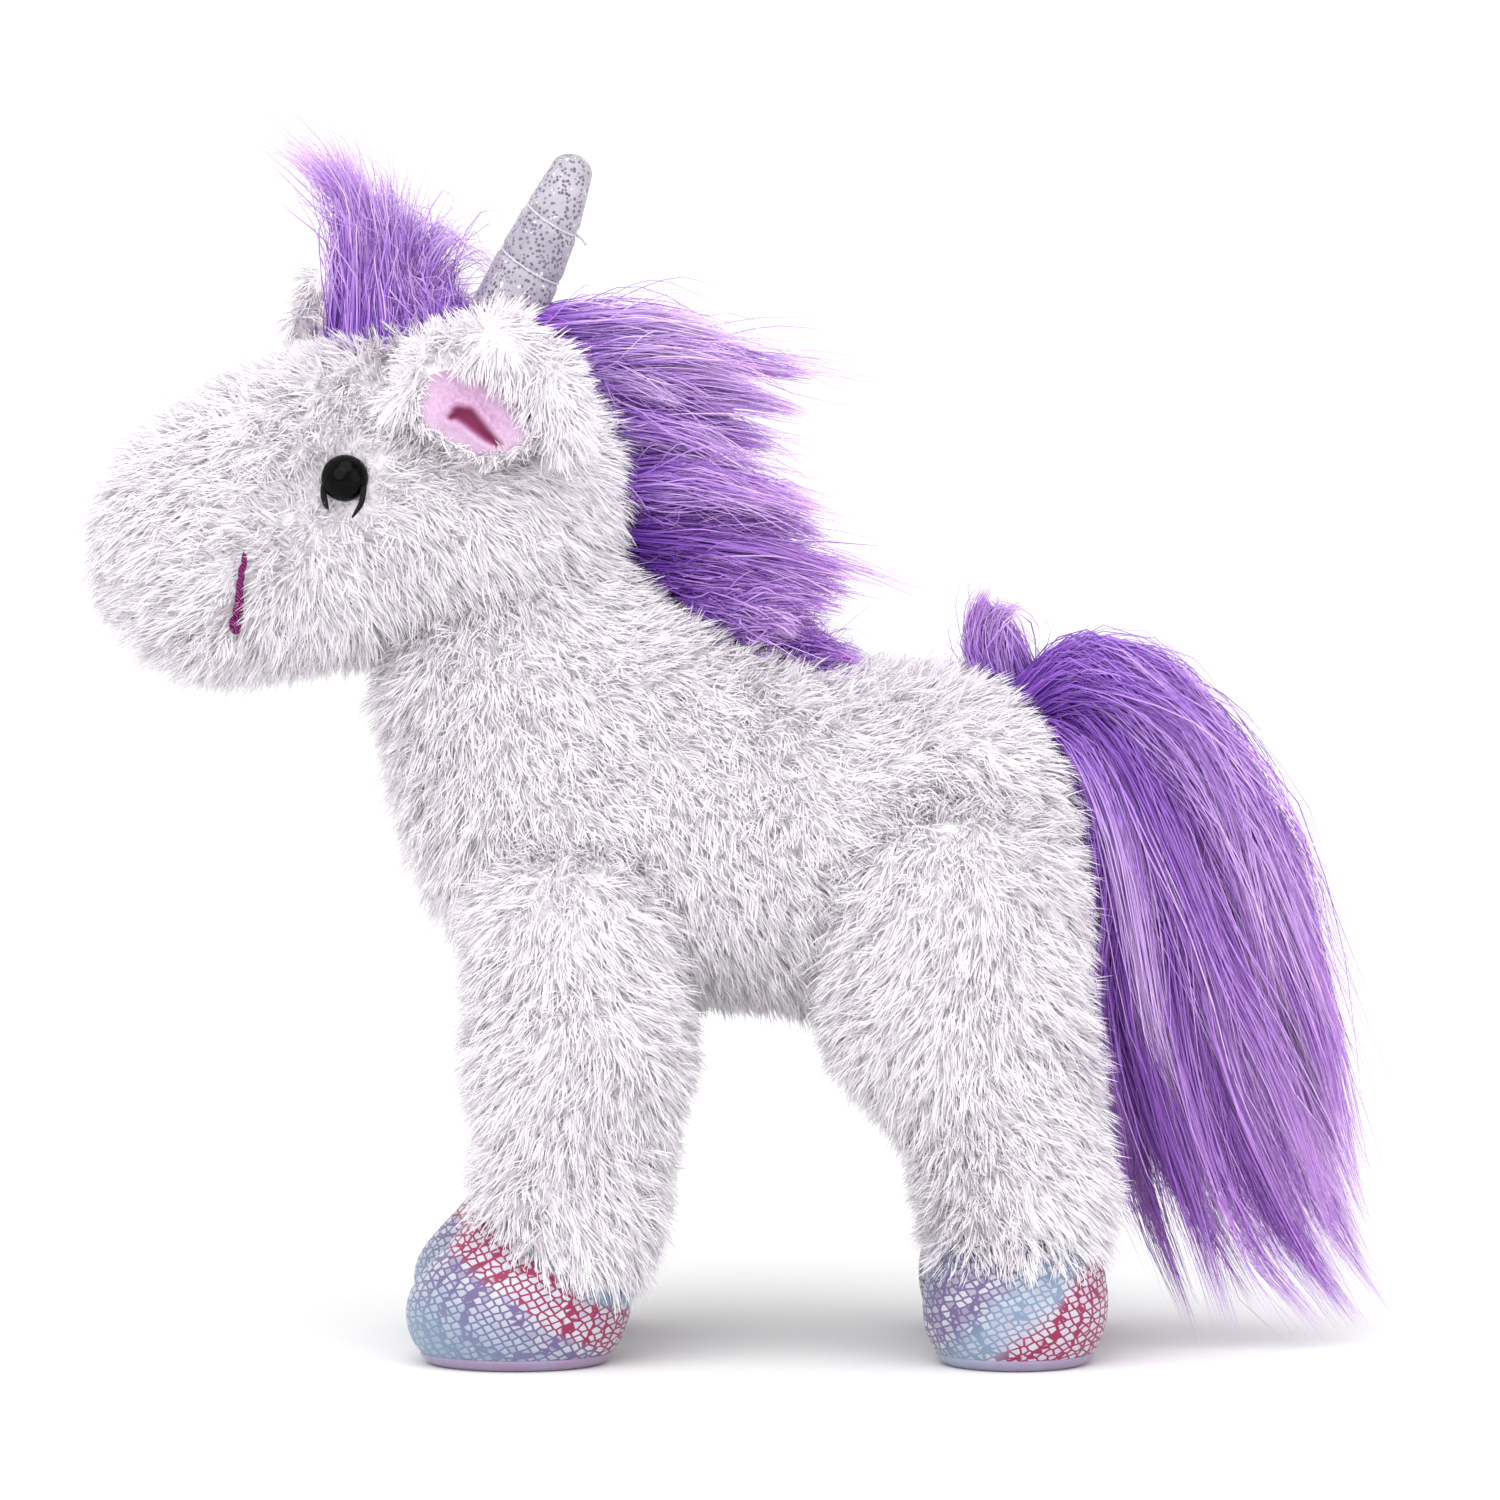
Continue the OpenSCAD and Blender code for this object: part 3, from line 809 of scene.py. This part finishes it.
def coat(name, form, flow_of, bind, nodes, others=(), density=2.4, trim=None, hem=None, depth=SKIN_DEPTH,
         length=PILE, filled=None, shade=0.0):
    """A stuffed cloth skin and the pile that grows on it. bind fixes a piece to its body, or bakes it in place."""
    skin = skin_mesh(name + "_skin", form, WHITE_CLOTH, depth)
    if filled:
        filling = skin_mesh(name + "_filling", form, FILLING, depth + 1.5, 4.0)
        declare(filling, bind, [filled])
    roots = scatter(*mesh_arrays(skin), density, seeded(name))
    for other in others:
        roots = roots[other.distance(roots) > -BURIED]
    if hem is not None:
        roots = roots[roots[:, 2] > hem(roots)]
    normals = form.normal(roots)
    flow = flow_of(roots)
    flow = flow - normals * (flow * normals).sum(1, keepdims=True)
    flow = flow / np.maximum(np.linalg.norm(flow, axis=1, keepdims=True), 0.5)
    lengths = np.full(len(roots), float(length))
    if trim is not None:
        kept, lengths = trim(roots, lengths)
        roots, normals, flow, lengths = roots[kept], normals[kept], flow[kept], lengths[kept]
    declare(skin, bind, nodes)
    parts = math.ceil(len(roots) / STRANDS_PER_PIECE)
    turn = np.argsort(roots @ [1.0, 0, 0.2])
    for number, chosen in enumerate(np.array_split(turn, parts)):
        fur = pile(f"{name}_pile_{number + 1}", roots[chosen], normals[chosen], flow[chosen], lengths[chosen],
                   shade=shade)
        declare(fur, bind)


def swirl(points, scale, seed):
    """A smooth pseudo-random direction field."""
    random = np.random.default_rng(seed)
    total = np.zeros_like(points)
    for _ in range(4):
        wave, way = random.normal(0, 1, 3), random.normal(0, 0.5, 3)
        total += np.sin(points @ wave / scale + random.uniform(0, 6.28))[:, None] * way
    return total


def combed(way, curl, scale, seed):
    """Pile brushed one way, with swirls in it."""
    return lambda points: np.array(way) + curl * swirl(points, scale, seed)


def head_flow(points):
    """Pile brushed forward on the muzzle and back over the cheeks."""
    back = np.clip((points[:, 0] - NOSE_X - 40) / 45, 0, 1)[:, None]
    muzzle = np.array([-0.75, 0, -0.6])
    cheek = np.array([0.75, 0, -0.45])
    return muzzle * (1 - back) + cheek * back + 0.55 * swirl(points, 14, 5)


def face_trim(roots, length):
    """The pile is short round the eyes and over the stitched nostrils, and absent under the eyes."""
    kept = np.ones(len(roots), bool)
    for side in (LEFT, RIGHT):
        eye = on_head(EYE, side)
        away = np.linalg.norm(roots - eye, axis=1)
        kept &= away > 5.4
        length = length * np.clip(0.30 + 0.7 * (away - 6) / 8, 0.30, 1)
        top, end = on_head(NOSTRIL_TOP, side), on_head(NOSTRIL_END, side)
        axis = end - top
        share = np.clip((roots - top) @ axis / (axis @ axis), 0, 1)
        gap = np.linalg.norm(roots - top - share[:, None] * axis, axis=1)
        length = length * np.clip(0.35 + 0.65 * (gap - 1.5) / 6, 0.35, 1)
    away = np.linalg.norm(roots - HORN_FOOT, axis=1)
    kept &= away > 9
    return kept, length


def front_hem(points):
    """The hem of a front leg is higher at the toe than at the heel."""
    toe_x, slope = SHOULDER[0] - 26, -0.36
    return 37 + slope * (points[:, 0] - toe_x)


def hind_hem(points):
    return np.full(len(points), 28.0)


def white_coats():
    coat("torso_coat", TORSO, combed([0.55, 0, -0.75], 0.5, 16, 3), rides("torso"),
         ["torso_skin_left", "torso_skin_right", "belly_gusset"], others=[HEAD, *LEGS.values()],
         filled="torso_stuffing")
    coat("head_coat", HEAD, head_flow, rides("head"), ["head_skin_left", "head_skin_right"],
         others=[TORSO], trim=face_trim, filled="head_stuffing")
    for leg, form in LEGS.items():
        front = leg.startswith("front")
        bend = blends()
        coat(leg + "_coat", form, combed([0.12, 0, -0.95], 0.45, 15, 9), bend,
             [leg.replace("leg_", "leg_skin_")], others=[TORSO], hem=front_hem if front else hind_hem,
             filled=leg.replace("leg_", "leg_stuffing_"))


# ---- ears

EAR_ARCH = [(-20, 2, 7, 6.5), (-12, 1, 18, 8), (4, 0, 21, 10), (15, 1, 12, 9.5), (19, 2, 1, 8)]
SLIT = [(-8.3, 3.6, 0.5), (-6.4, 4.6, 1.6), (-4.2, 3.8, 2.1), (-2.0, 1.6, 1.7), (0.8, -1.2, 1.2), (3.6, -3.6, 0.4)]
LINING_MIDDLE, LINING_LONG, LINING_SHORT, LINING_TILT = (-3.6, 5.5), 17.0, 11.0, -34.0


def slit_distance(x, z):
    """How far each point of the lining lies outside the fold, which is widest near its arched end."""
    best = np.full(x.shape, 1e9)
    for (x0, z0, w0), (x1, z1, w1) in zip(SLIT[:-1], SLIT[1:]):
        ax, az = x1 - x0, z1 - z0
        share = np.clip(((x - x0) * ax + (z - z0) * az) / (ax * ax + az * az), 0, 1)
        best = np.minimum(best, np.hypot(x - x0 - share * ax, z - z0 - share * az) - w0 - share * (w1 - w0))
    return best


def lining_places(radius, angle):
    """Side-view places on the lining, from its middle (radius 0) to its rim (radius 1)."""
    tilt = math.radians(LINING_TILT)
    wobble = 1 + 0.06 * np.sin(3 * angle + 1) + 0.04 * np.sin(5 * angle)
    long, short = LINING_LONG * radius * np.cos(angle) * wobble, LINING_SHORT * radius * np.sin(angle) * wobble
    x = LINING_MIDDLE[0] + long * math.cos(tilt) - short * math.sin(tilt)
    z = LINING_MIDDLE[1] + long * math.sin(tilt) + short * math.cos(tilt)
    return x, z


def rim_pile(name, foot, side):
    """Short white pile that leans in over the rim of the lining."""
    random = seeded(name)
    count = 1500
    angle, radius = random.uniform(0, 2 * math.pi, count), random.uniform(0.9, 1.04, count)
    x, z = lining_places(radius, angle)
    out = 8.0 - 3.2 * radius**2 - 3.5 * np.clip((radius - 0.86) / 0.14, 0, 1) ** 2
    roots = np.stack([foot[0] + x, foot[1] + side * out, foot[2] + z], axis=-1)
    middle = np.array([foot[0] + LINING_MIDDLE[0], 0, foot[2] + LINING_MIDDLE[1]])
    inward = unit((middle - roots) * [1, 0, 1])
    normals = unit(np.array([0.0, side, 0.0]) - 0.5 * inward)
    # shade=0.3 is painted shade: the rim pile's tint is dimmed because the ear catches more light.
    return pile(name, roots, normals, 0.7 * inward, 5.0, tuft=2.0, lean=0.8, gather=0.3, shade=0.3)


def lining_mesh(name, foot, side):
    """The velvety inner face of the ear: a shallow dish folded into a slit."""
    rings, around = 40, 120
    radius = np.linspace(0, 1, rings)[:, None]
    angle = np.linspace(0, 2 * math.pi, around, endpoint=False)[None, :]
    x, z = lining_places(radius, angle)
    away = slit_distance(x, z)
    out = 8.0 - 3.2 * radius**2 + 0 * x
    out += 1.1 * np.exp(-(((away - 1.4) / 1.2) ** 2)) - 2.6 / (1 + np.exp(np.clip(away / 0.3, -30, 30)))
    out -= 5.0 * np.clip((radius - 0.86) / 0.14, 0, 1) ** 2
    points = np.stack([foot[0] + x, foot[1] + side * out, foot[2] + z], axis=-1).reshape(-1, 3)
    index, quads = ring_faces(rings, around)
    quads = quads[around:]
    fan = np.stack([np.zeros(around, int), np.roll(index[1], -1), index[1]], axis=-1)
    if side == LEFT:
        quads, fan = quads[:, ::-1], fan[:, ::-1]
    piece = mesh_object(name, points, [quads, fan], PINK_CLOTH)
    # fold marks the slit for the lining material, which colours it magenta and paints shade into it.
    fold = (1 / (1 + np.exp(np.clip((away - 0.1) / 0.45, -30, 30)))).reshape(-1)
    set_uv(piece, np.clip(np.stack([fold, np.broadcast_to(radius, x.shape).reshape(-1)], -1), 0.02, 0.98))
    return piece


def ears():
    for side_name, side in SIDES.items():
        body = "ear_" + side_name
        foot = pivot("ear_flop_" + side_name)
        perk = np.array([0, 0, 0]) if side == LEFT else np.array([-16, 0, 15])
        middle = foot + perk + [0, -side * 1.5, 0.5]
        arch = [np.array([middle[0] + x, middle[1] + side * (3 - y), middle[2] + z]) for x, y, z, _ in EAR_ARCH]
        sizes = [size for *_, size in EAR_ARCH]
        form = Form([(arch[k], arch[k + 1], sizes[k], sizes[k + 1]) for k in range(4)], blend=4)

        def trim(roots, lengths):
            x, z = roots[:, 0] - middle[0], roots[:, 2] - middle[2]
            tilt = math.radians(LINING_TILT)
            dx, dz = x - LINING_MIDDLE[0], z - LINING_MIDDLE[1]
            long = (dx * math.cos(tilt) + dz * math.sin(tilt)) / LINING_LONG
            short = (-dx * math.sin(tilt) + dz * math.cos(tilt)) / LINING_SHORT
            inside = np.hypot(long, short)
            facing = side * (roots[:, 1] - middle[1]) > 0
            kept = ~(facing & (inside < 0.92))
            return kept, lengths * np.where(facing, np.clip(0.6 + 1.0 * (inside - 0.9), 0.6, 1), 1)

        # shade=0.5 is painted shade: the ear pile's tint is dimmed because the ears catch more light than the head.
        coat(body + "_coat", form, combed([0.35, 0, -0.8], 0.4, 9, 21), rides(body), ["ear_back_" + side_name],
             density=2.6, trim=trim, depth=3.5, length=7.5, shade=0.5)
        lining = lining_mesh(body + "_lining", middle, side)
        declare(lining, rides(body), ["ear_lining_" + side_name])
        declare(rim_pile(body + "_rim_pile", middle, side), rides(body))


# ---- long purple hair

TAIL_GUIDES = np.array([
    [(70, 158), (80, 148), (86, 112), (87, 78), (92, 46), (106, 14)],
    [(74, 162), (88, 156), (100, 118), (106, 82), (118, 48), (137, 8)],
    [(76, 164), (94, 163), (112, 132), (125, 92), (140, 46), (168, 3)],
    [(74, 164), (95, 170), (117, 146), (131, 114), (140, 80), (147, 40)],
    [(70, 168), (88, 178), (111, 162), (130, 138), (145, 110), (157, 84)],
], float)
WISP_WIDTH = 0.26
MANE_ROOTS = np.array([(-53, 263), (-40, 245), (-32, 224), (-27, 205), (-14, 193), (2, 182), (17, 173)], float)
MANE_ENDS = np.array([(0, 261), (3, 240), (8, 218), (13, 201), (15, 188), (17, 179), (20, 170)], float)


def rows_at(table, places):
    """Rows of a table of points at places from 0 to 1 down the table."""
    spot = places * (len(table) - 1)
    first = np.minimum(spot.astype(int), len(table) - 2)
    share = (spot - first).reshape(-1, *[1] * (table.ndim - 1))
    return table[first] * (1 - share) + table[first + 1] * share


def in_depth(flat, y):
    """Side-view points (…, 2) and their sideways places (…) as points in space."""
    return np.stack([flat[..., 0], y, flat[..., 1]], axis=-1)


def declare_hair(pieces, bind, replaced):
    """The first piece stands for the CAD hair, and all of them move together."""
    for number, hair in enumerate(pieces):
        declare(hair, bind, () if number else replaced)


def tail():
    random = seeded("tail")
    count = 64
    places = np.clip((np.arange(count) + random.uniform(0.1, 0.9, count)) / count, 0, 1)
    flat = rows_at(TAIL_GUIDES, places)
    steps = np.linspace(0, 1, flat.shape[1])
    shorter = random.uniform(0.72, 1.06, count)
    flat = smooth_paths(flat, shorter[:, None] * steps)
    flat += random.normal(0, 1, (count, 1, 2)) * (4.5 * steps)[None, :, None]
    flat += random.normal(0, 2.2, flat.shape) * np.minimum(1, 3 * steps)[None, :, None]
    y = random.uniform(-1, 1, (count, 1)) * np.interp(steps, [0, 0.3, 0.7, 1], [5, 17, 19, 13])
    controls = in_depth(flat, y)
    tints = np.clip(0.28 + 0.45 * places + random.normal(0, 0.22, count), 0, 1)
    pieces = [locks(f"tail_locks_{k + 1}", controls[k::2], [3.5, 6.5, 7.5, 6, 3.5, 0.6], 400, tints[k::2], frizz=2.4)
              for k in (0, 1)]
    tuft = [[(68, 164), (62, 171), (58, 180), (58, 189), (62, 196)],
            [(72, 165), (70, 173), (67, 182), (63, 188), (59, 192)],
            [(66, 165), (63, 173), (62, 182), (64, 189), (70, 190)]]
    tuft = in_depth(np.array(tuft, float), np.array([[-2] * 5, [2] * 5, [0] * 5], float))
    pieces.append(locks("tail_tuft", tuft, [4.5, 4.2, 3, 1.4, 0.6], 330, [0.5, 0.6, 0.7], rings=8, frizz=1.8,
                        stray=0.08, short=0.6))
    declare_hair(pieces, rides("tail"), ["tail_hair"])


def mane():
    random = seeded("mane")
    count = 72
    places = (np.arange(count) + random.uniform(0.1, 0.9, count)) / count
    root, end = rows_at(MANE_ROOTS, places), rows_at(MANE_ENDS, places)
    steps = np.array([0, 0.3, 0.65, 1.0])
    rise = np.array([0, 3.0, 4.0, 0]) * np.interp(places, [0, 0.3, 1], [0.7, 0.8, 0.4])[:, None]
    longer = np.where(random.random(count) < 0.3, random.uniform(1.05, 1.35, count), random.uniform(0.6, 1.0, count))
    longer = longer[:, None]
    flat = root[:, None, :] + (end - root)[:, None, :] * (longer * steps)[..., None]
    flat[..., 1] += rise
    flat += random.normal(0, 1, (count, 1, 2)) * (3.5 * steps)[None, :, None]
    y = random.uniform(-1, 1, (count, 1)) * np.array([6, 10, 13, 15])
    controls = in_depth(flat, y)
    tints = np.clip(0.74 - 0.5 * np.exp(-(((places - 0.52) / 0.2) ** 2)) + random.normal(0, 0.18, count), 0, 1)
    pieces = [locks(f"mane_locks_{k + 1}", controls[k::2], [5.5, 6.5, 4.5, 1.2], 330, tints[k::2], 0.34, short=0.75)
              for k in (0, 1)]
    lone = random.choice(count, 26, replace=False)
    far = controls[lone] + (controls[lone] - controls[lone][:, :1]) * random.uniform(0.1, 0.45, (len(lone), 1, 1))
    pieces.append(locks("mane_wisps", far, [4, 5, 3.5, 2], 46, 0.6 + 0.4 * random.random(len(lone)), WISP_WIDTH,
                        rings=10, frizz=2.6, stray=0.3, short=0.3))
    bend = blends()
    declare_hair(pieces, bend, ["mane_upper", "mane_lower"])


def fanned(places, rows):
    """Side-view guides across a tuft: each row is x and z at place 0, and how far they go by place 1."""
    return np.stack([np.stack([x + dx * places, z + dz * places], -1) for x, z, dx, dz in rows], axis=1)


def forelock():
    """A tuft that stands up in front of the horn, narrows, and blows forward in thin wisps."""
    random = seeded("forelock")
    count = 46
    across = random.uniform(0, 1, count)
    thin = random.random(count) < 0.38
    reach = np.where(thin, random.uniform(0.85, 1.05, count), random.uniform(0.58, 0.76, count))
    flat = fanned(across, [(-106, 247, 38, 17), (-104, 268.6, 31, -5), (-103, 287.5, 25, -24.25),
                           (-105, 301, 27, -38), (-120, 309, 46, -34)])
    flat[:, -1] += random.normal(0, 5, (count, 2))
    flat = smooth_paths(flat, reach[:, None] * np.linspace(0, 1, 5))
    y = random.uniform(-1, 1, (count, 1)) * np.array([11, 8, 5, 5, 7])
    hair = locks("forelock_locks", in_depth(flat, y), [5.0, 4.4, 3.0, 2.0, 1.2], 270,
                 0.45 + 0.3 * random.random(count), rings=8, stray=0.14, short=0.7)
    fans = 22
    spread = np.linspace(0, 1, fans) + random.normal(0, 0.04, fans)
    flat = fanned(spread, [(-103, 268, 24, 0), (-103, 290, 24, -14), (-112, 303, 40, -20), (-126, 304, 62, -30)])
    flat[:, -1, 1] += 15 * np.sin(3.1 * np.clip(spread + 0.14, 0, 1))
    flat[:, -1] += random.normal(0, 3, (fans, 2))
    y = random.uniform(-1, 1, (fans, 1)) * np.array([7, 6, 7, 9])
    wisps = locks("forelock_wisps", in_depth(flat, y), [4, 3, 2.4, 2.4], 44,
                  0.55 + 0.4 * random.random(fans), WISP_WIDTH, frizz=2.2, stray=0.3, short=0.35)
    declare_hair([hair, wisps], rides("head"), ["forelock"])


# ---- horn


HORN_GROOVES = (0.40, 0.70)


def horn_axis(along):
    """The horn's middle line: it leans back and straightens towards its tip."""
    tip_z = box_mm("horn_sleeve")[1][2] - 4.6
    foot, tip = HORN_FOOT + [-1.6, 0, -3], np.array([HORN_FOOT[0] + 17.0, 0, tip_z])
    bend = np.array([0.6, 0, 0])
    along = np.asarray(along, float)[..., None]
    return foot * (1 - along) + tip * along + bend * np.sin(math.pi * along)


def horn_radius(along, angle):
    """The stuffing bulges between the grooves that the thread pulls in."""
    radius = 9.2 - 3.8 * along**2.2
    for groove in HORN_GROOVES:
        centre = groove + 0.035 * np.cos(angle - 2.4)
        radius = radius - 0.7 * np.exp(-(((along - centre) / 0.03) ** 2)) + 0.3 * np.exp(
            -(((along - centre) / 0.09) ** 2))
    return radius


def tube(name, path, radii, material, around=16):
    """A closed tube along a path of points."""
    heading = unit(np.gradient(path, axis=0))
    aside = unit(np.cross(heading, np.array([0.3, 0.9, 0.25])))
    other = np.cross(heading, aside)
    angle = np.linspace(0, 2 * math.pi, around, endpoint=False)
    ring = np.cos(angle)[None, :, None] * aside[:, None] + np.sin(angle)[None, :, None] * other[:, None]
    points = path[:, None] + ring * np.asarray(radii, float).reshape(-1, 1, 1)
    return ringed_mesh(name, points.reshape(-1, 3), around, material)


def horn():
    rows, around = 150, 72
    along = np.linspace(0, 1, rows)[:, None]
    angle = np.linspace(0, 2 * math.pi, around, endpoint=False)[None, :]
    axis = horn_axis(along[:, 0])
    heading = unit(np.gradient(axis, axis=0))
    aside = np.array([0.0, 1.0, 0.0])
    front = unit(np.cross(aside, heading))
    radius = horn_radius(along, angle)
    ring = np.cos(angle)[..., None] * front[:, None] + np.sin(angle)[..., None] * aside
    body = axis[:, None] + ring * radius[..., None]
    dome = np.linspace(0.12, math.pi / 2, 14)[:, None]
    cap_radius = radius[-1:, :] * np.cos(dome)
    cap = axis[-1] + heading[-1] * (4.6 * np.sin(dome))[..., None] + ring[-1:] * cap_radius[..., None]
    sleeve = ringed_mesh("horn_sleeve_cloth", np.concatenate([body, cap]).reshape(-1, 3), around, HORN_CLOTH)
    declare(sleeve, rides("horn"), ["horn_sleeve"])
    filling = tube("horn_filling", axis[::5], 0.78 * horn_radius(along[::5, 0], 0.0), FILLING, 32)
    declare(filling, rides("horn"), ["horn_stuffing"])
    wraps = []
    for groove in HORN_GROOVES:
        sweep = np.linspace(0, 2 * math.pi * 1.04, 90)
        place = groove + 0.035 * np.cos(sweep - 2.4)
        centre = horn_axis(place)
        reach = horn_radius(place, sweep) + 0.15
        path = centre + (np.cos(sweep)[:, None] * front[rows // 2] + np.sin(sweep)[:, None] * aside) * reach[:, None]
        wraps.append(path)
    loose = np.array([wraps[1][0], wraps[1][0] + [1.6, -0.6, -1.0], wraps[1][0] + [2.6, -0.8, -2.6]])
    for number, path in enumerate([*wraps, loose]):
        thread = tube(f"horn_wrap_{number + 1}", path, np.full(len(path), 0.32), WRAP_THREAD, 10)
        declare(thread, rides("horn"), () if number else ["horn_thread"])


# ---- face


def surface_path(points, side, lift):
    """A side-view line laid on the head's surface."""
    return np.array([on_head((x, 0, z), side) for x, z in points]) + [0, side * lift, 0]


def eye_piece(name, side):
    """A domed safety eye with a soft rim."""
    low, high = box_mm(name)
    radius = (high[0] - low[0]) / 2
    tilt = math.radians(16)
    out = np.array([0, side * math.cos(tilt), math.sin(tilt)])
    centre_z = EYE[2] + 0.4
    face = on_head((EYE[0], 0, centre_z), side, depth=1.5)
    profile = [(a, math.sin(a) * 0.86 * radius, math.cos(a) * radius) for a in np.linspace(0, math.pi / 2, 22)]
    up = unit(np.cross(out, [1.0, 0, 0]))
    rows = [(-2.0, radius * 0.9), (-0.9, radius * 0.985)] + [(h, r) for _, h, r in profile]
    around = 64
    angle = np.linspace(0, 2 * math.pi, around, endpoint=False)
    ring = np.cos(angle)[:, None] * np.array([1.0, 0, 0]) + np.sin(angle)[:, None] * up
    points = np.concatenate([face + out * h + ring * max(r, 0.02) for h, r in rows])
    dome = ringed_mesh(name + "_dome", points, around, EYE_PLASTIC)
    faces_out(dome)
    declare(dome, rides("head"), [name])


def stitch(node, number, path, radii, material):
    """One laid thread; the first of a set stands for the CAD stitching."""
    thread = tube(f"{node}_{number + 1}", path, radii, material, 12)
    faces_out(thread)
    declare(thread, rides("head"), () if number else [node])


def face():
    for side_name, side in SIDES.items():
        eye_piece("eye_" + side_name, side)
        ex, ez = EYE[0], EYE[2] + 0.4
        strokes = [[(-5.2, -1.6), (-5.3, -4.2), (-4.8, -6.6), (-4.2, -8.0)],
                   [(4.9, -1.8), (4.6, -4.4), (4.0, -6.6), (1.9, -9.8)]]
        for number, stroke in enumerate(strokes):
            line = densify([(ex + dx, 0, ez + dz) for dx, dz in stroke], 14)
            path = surface_path(line[:, [0, 2]], side, 0.4)
            radii = np.interp(np.linspace(0, 1, 14), [0, 0.2, 0.7, 1], [0.7, 0.85, 0.7, 0.25])
            stitch("lashes_" + side_name, number, path, radii, LASH_THREAD)
        stitches = np.linspace(-0.05, 1, 7)
        for number in range(6):
            share = (stitches[number] + stitches[number + 1]) / 2
            middle = NOSTRIL_TOP * (1 - share) + NOSTRIL_END * share
            half = 2.4
            reach = np.linspace(-1, 1, 8)
            swell = 0.75 + 0.95 * share**1.4
            line = [(middle[0] + 0.25 * math.sin(5 * number) - 0.12 * half * r * share, middle[2] + half * r)
                    for r in reach]
            path = surface_path(line, side, -0.5)
            radii = swell * np.sqrt(np.clip(1.04 - reach**2, 0.02, 1))
            stitch("nostril_" + side_name, number, path, radii, NOSTRIL_THREAD)


# ---- hooves

HOOF_PROFILES = {  # height, share of the full radius, drift towards the heel
    "front": [(2.4, 0.80, 0.0), (3.4, 0.86, 0.0), (6.5, 0.935, 0.0), (11, 0.985, 0.2), (16, 1.0, 0.8),
              (21, 0.965, 2.0), (26, 0.89, 3.9), (31, 0.80, 6.0), (36, 0.72, 7.8), (40, 0.68, 8.8)],
    "hind": [(2.4, 0.80, 0.0), (3.4, 0.86, 0.0), (6.5, 0.935, 0.0), (11, 0.985, 0.0), (16, 1.0, 0.1),
             (21, 0.975, 0.2), (26, 0.93, 0.3), (31, 0.88, 0.5), (36, 0.84, 0.6), (40, 0.82, 0.6)]}
BAG_PROFILE = [(4.2, 0.70), (5.0, 0.82), (8, 0.95), (14, 1.0), (20, 0.95), (25, 0.80), (28, 0.5)]
SOLE_PROFILE = [(0.0, 0.72), (0.4, 0.77), (1.2, 0.82), (2.2, 0.85), (3.0, 0.85), (3.6, 0.80)]


def lathe(name, rows, material, around=96, crease=0.0):
    """Rings (centre, x radius, y radius) joined into a closed body with soft puckers."""
    angle = np.linspace(0, 2 * math.pi, around, endpoint=False)
    pucker = 1 + crease * (0.6 * np.sin(7 * angle + 1.3) + 0.4 * np.sin(12 * angle))
    points = [np.stack([c[0] + rx * pucker * np.cos(angle), c[1] + ry * pucker * np.sin(angle),
                        np.full(around, c[2])], axis=-1) for c, rx, ry in rows]
    return ringed_mesh(name, np.concatenate(points), around, material)


def densify(table, count):
    """Smoothly more rows of a table."""
    return smooth_paths(np.array([table], float), np.linspace(0, 1, count)[None])[0]


def hooves():
    for end in ("front", "hind"):
        for side_name in SIDES:
            body = f"{end}_leg_{side_name}"
            low, high = box_mm(f"{end}_hoof_{side_name}")
            middle = (low + high) / 2
            long, wide, shift = (28.6, 22.6, -6.9) if end == "front" else (23.6, 22.6, 0.8)
            x, y = middle[0] + shift, middle[1]
            rows = [((x + drift, y, z), long * s, wide * s) for z, s, drift in densify(HOOF_PROFILES[end], 46)]
            upper = lathe(f"{end}_hoof_cloth_{side_name}", rows, HOOF_PRINTS[end], 96, 0.006)
            declare(upper, rides(body), [f"{end}_hoof_{side_name}"])
            rows = [((x, y, z), long * s, wide * s) for z, s in densify(SOLE_PROFILE, 18)]
            sole = lathe(f"{end}_sole_pad_{side_name}", rows, HOOF_PRINTS["sole"], 96, 0.004)
            declare(sole, rides(body), [f"{end}_sole_{side_name}"])
            rows = [((x, y, z), 0.8 * long * s, 0.8 * wide * s) for z, s in densify(BAG_PROFILE, 20)]
            bag = lathe(f"{end}_pellets_{side_name}", rows, PELLET_CLOTH, 48, 0.02)
            declare(bag, rides(body), [f"{end}_pellet_bag_{side_name}"])


# ---- pieces kept from the CAD


def finish_kept_nodes():
    wanted = {"washer": WASHER_PLASTIC, "tail_tab": TAB_CLOTH}
    for name, node in frame["nodes"].items():
        for word, material in wanted.items():
            if word in name:
                for slot in node.material_slots:
                    slot.material = material


camera()
stage()
light()
white_coats()
ears()
tail()
mane()
forelock()
horn()
face()
hooves()
finish_kept_nodes()
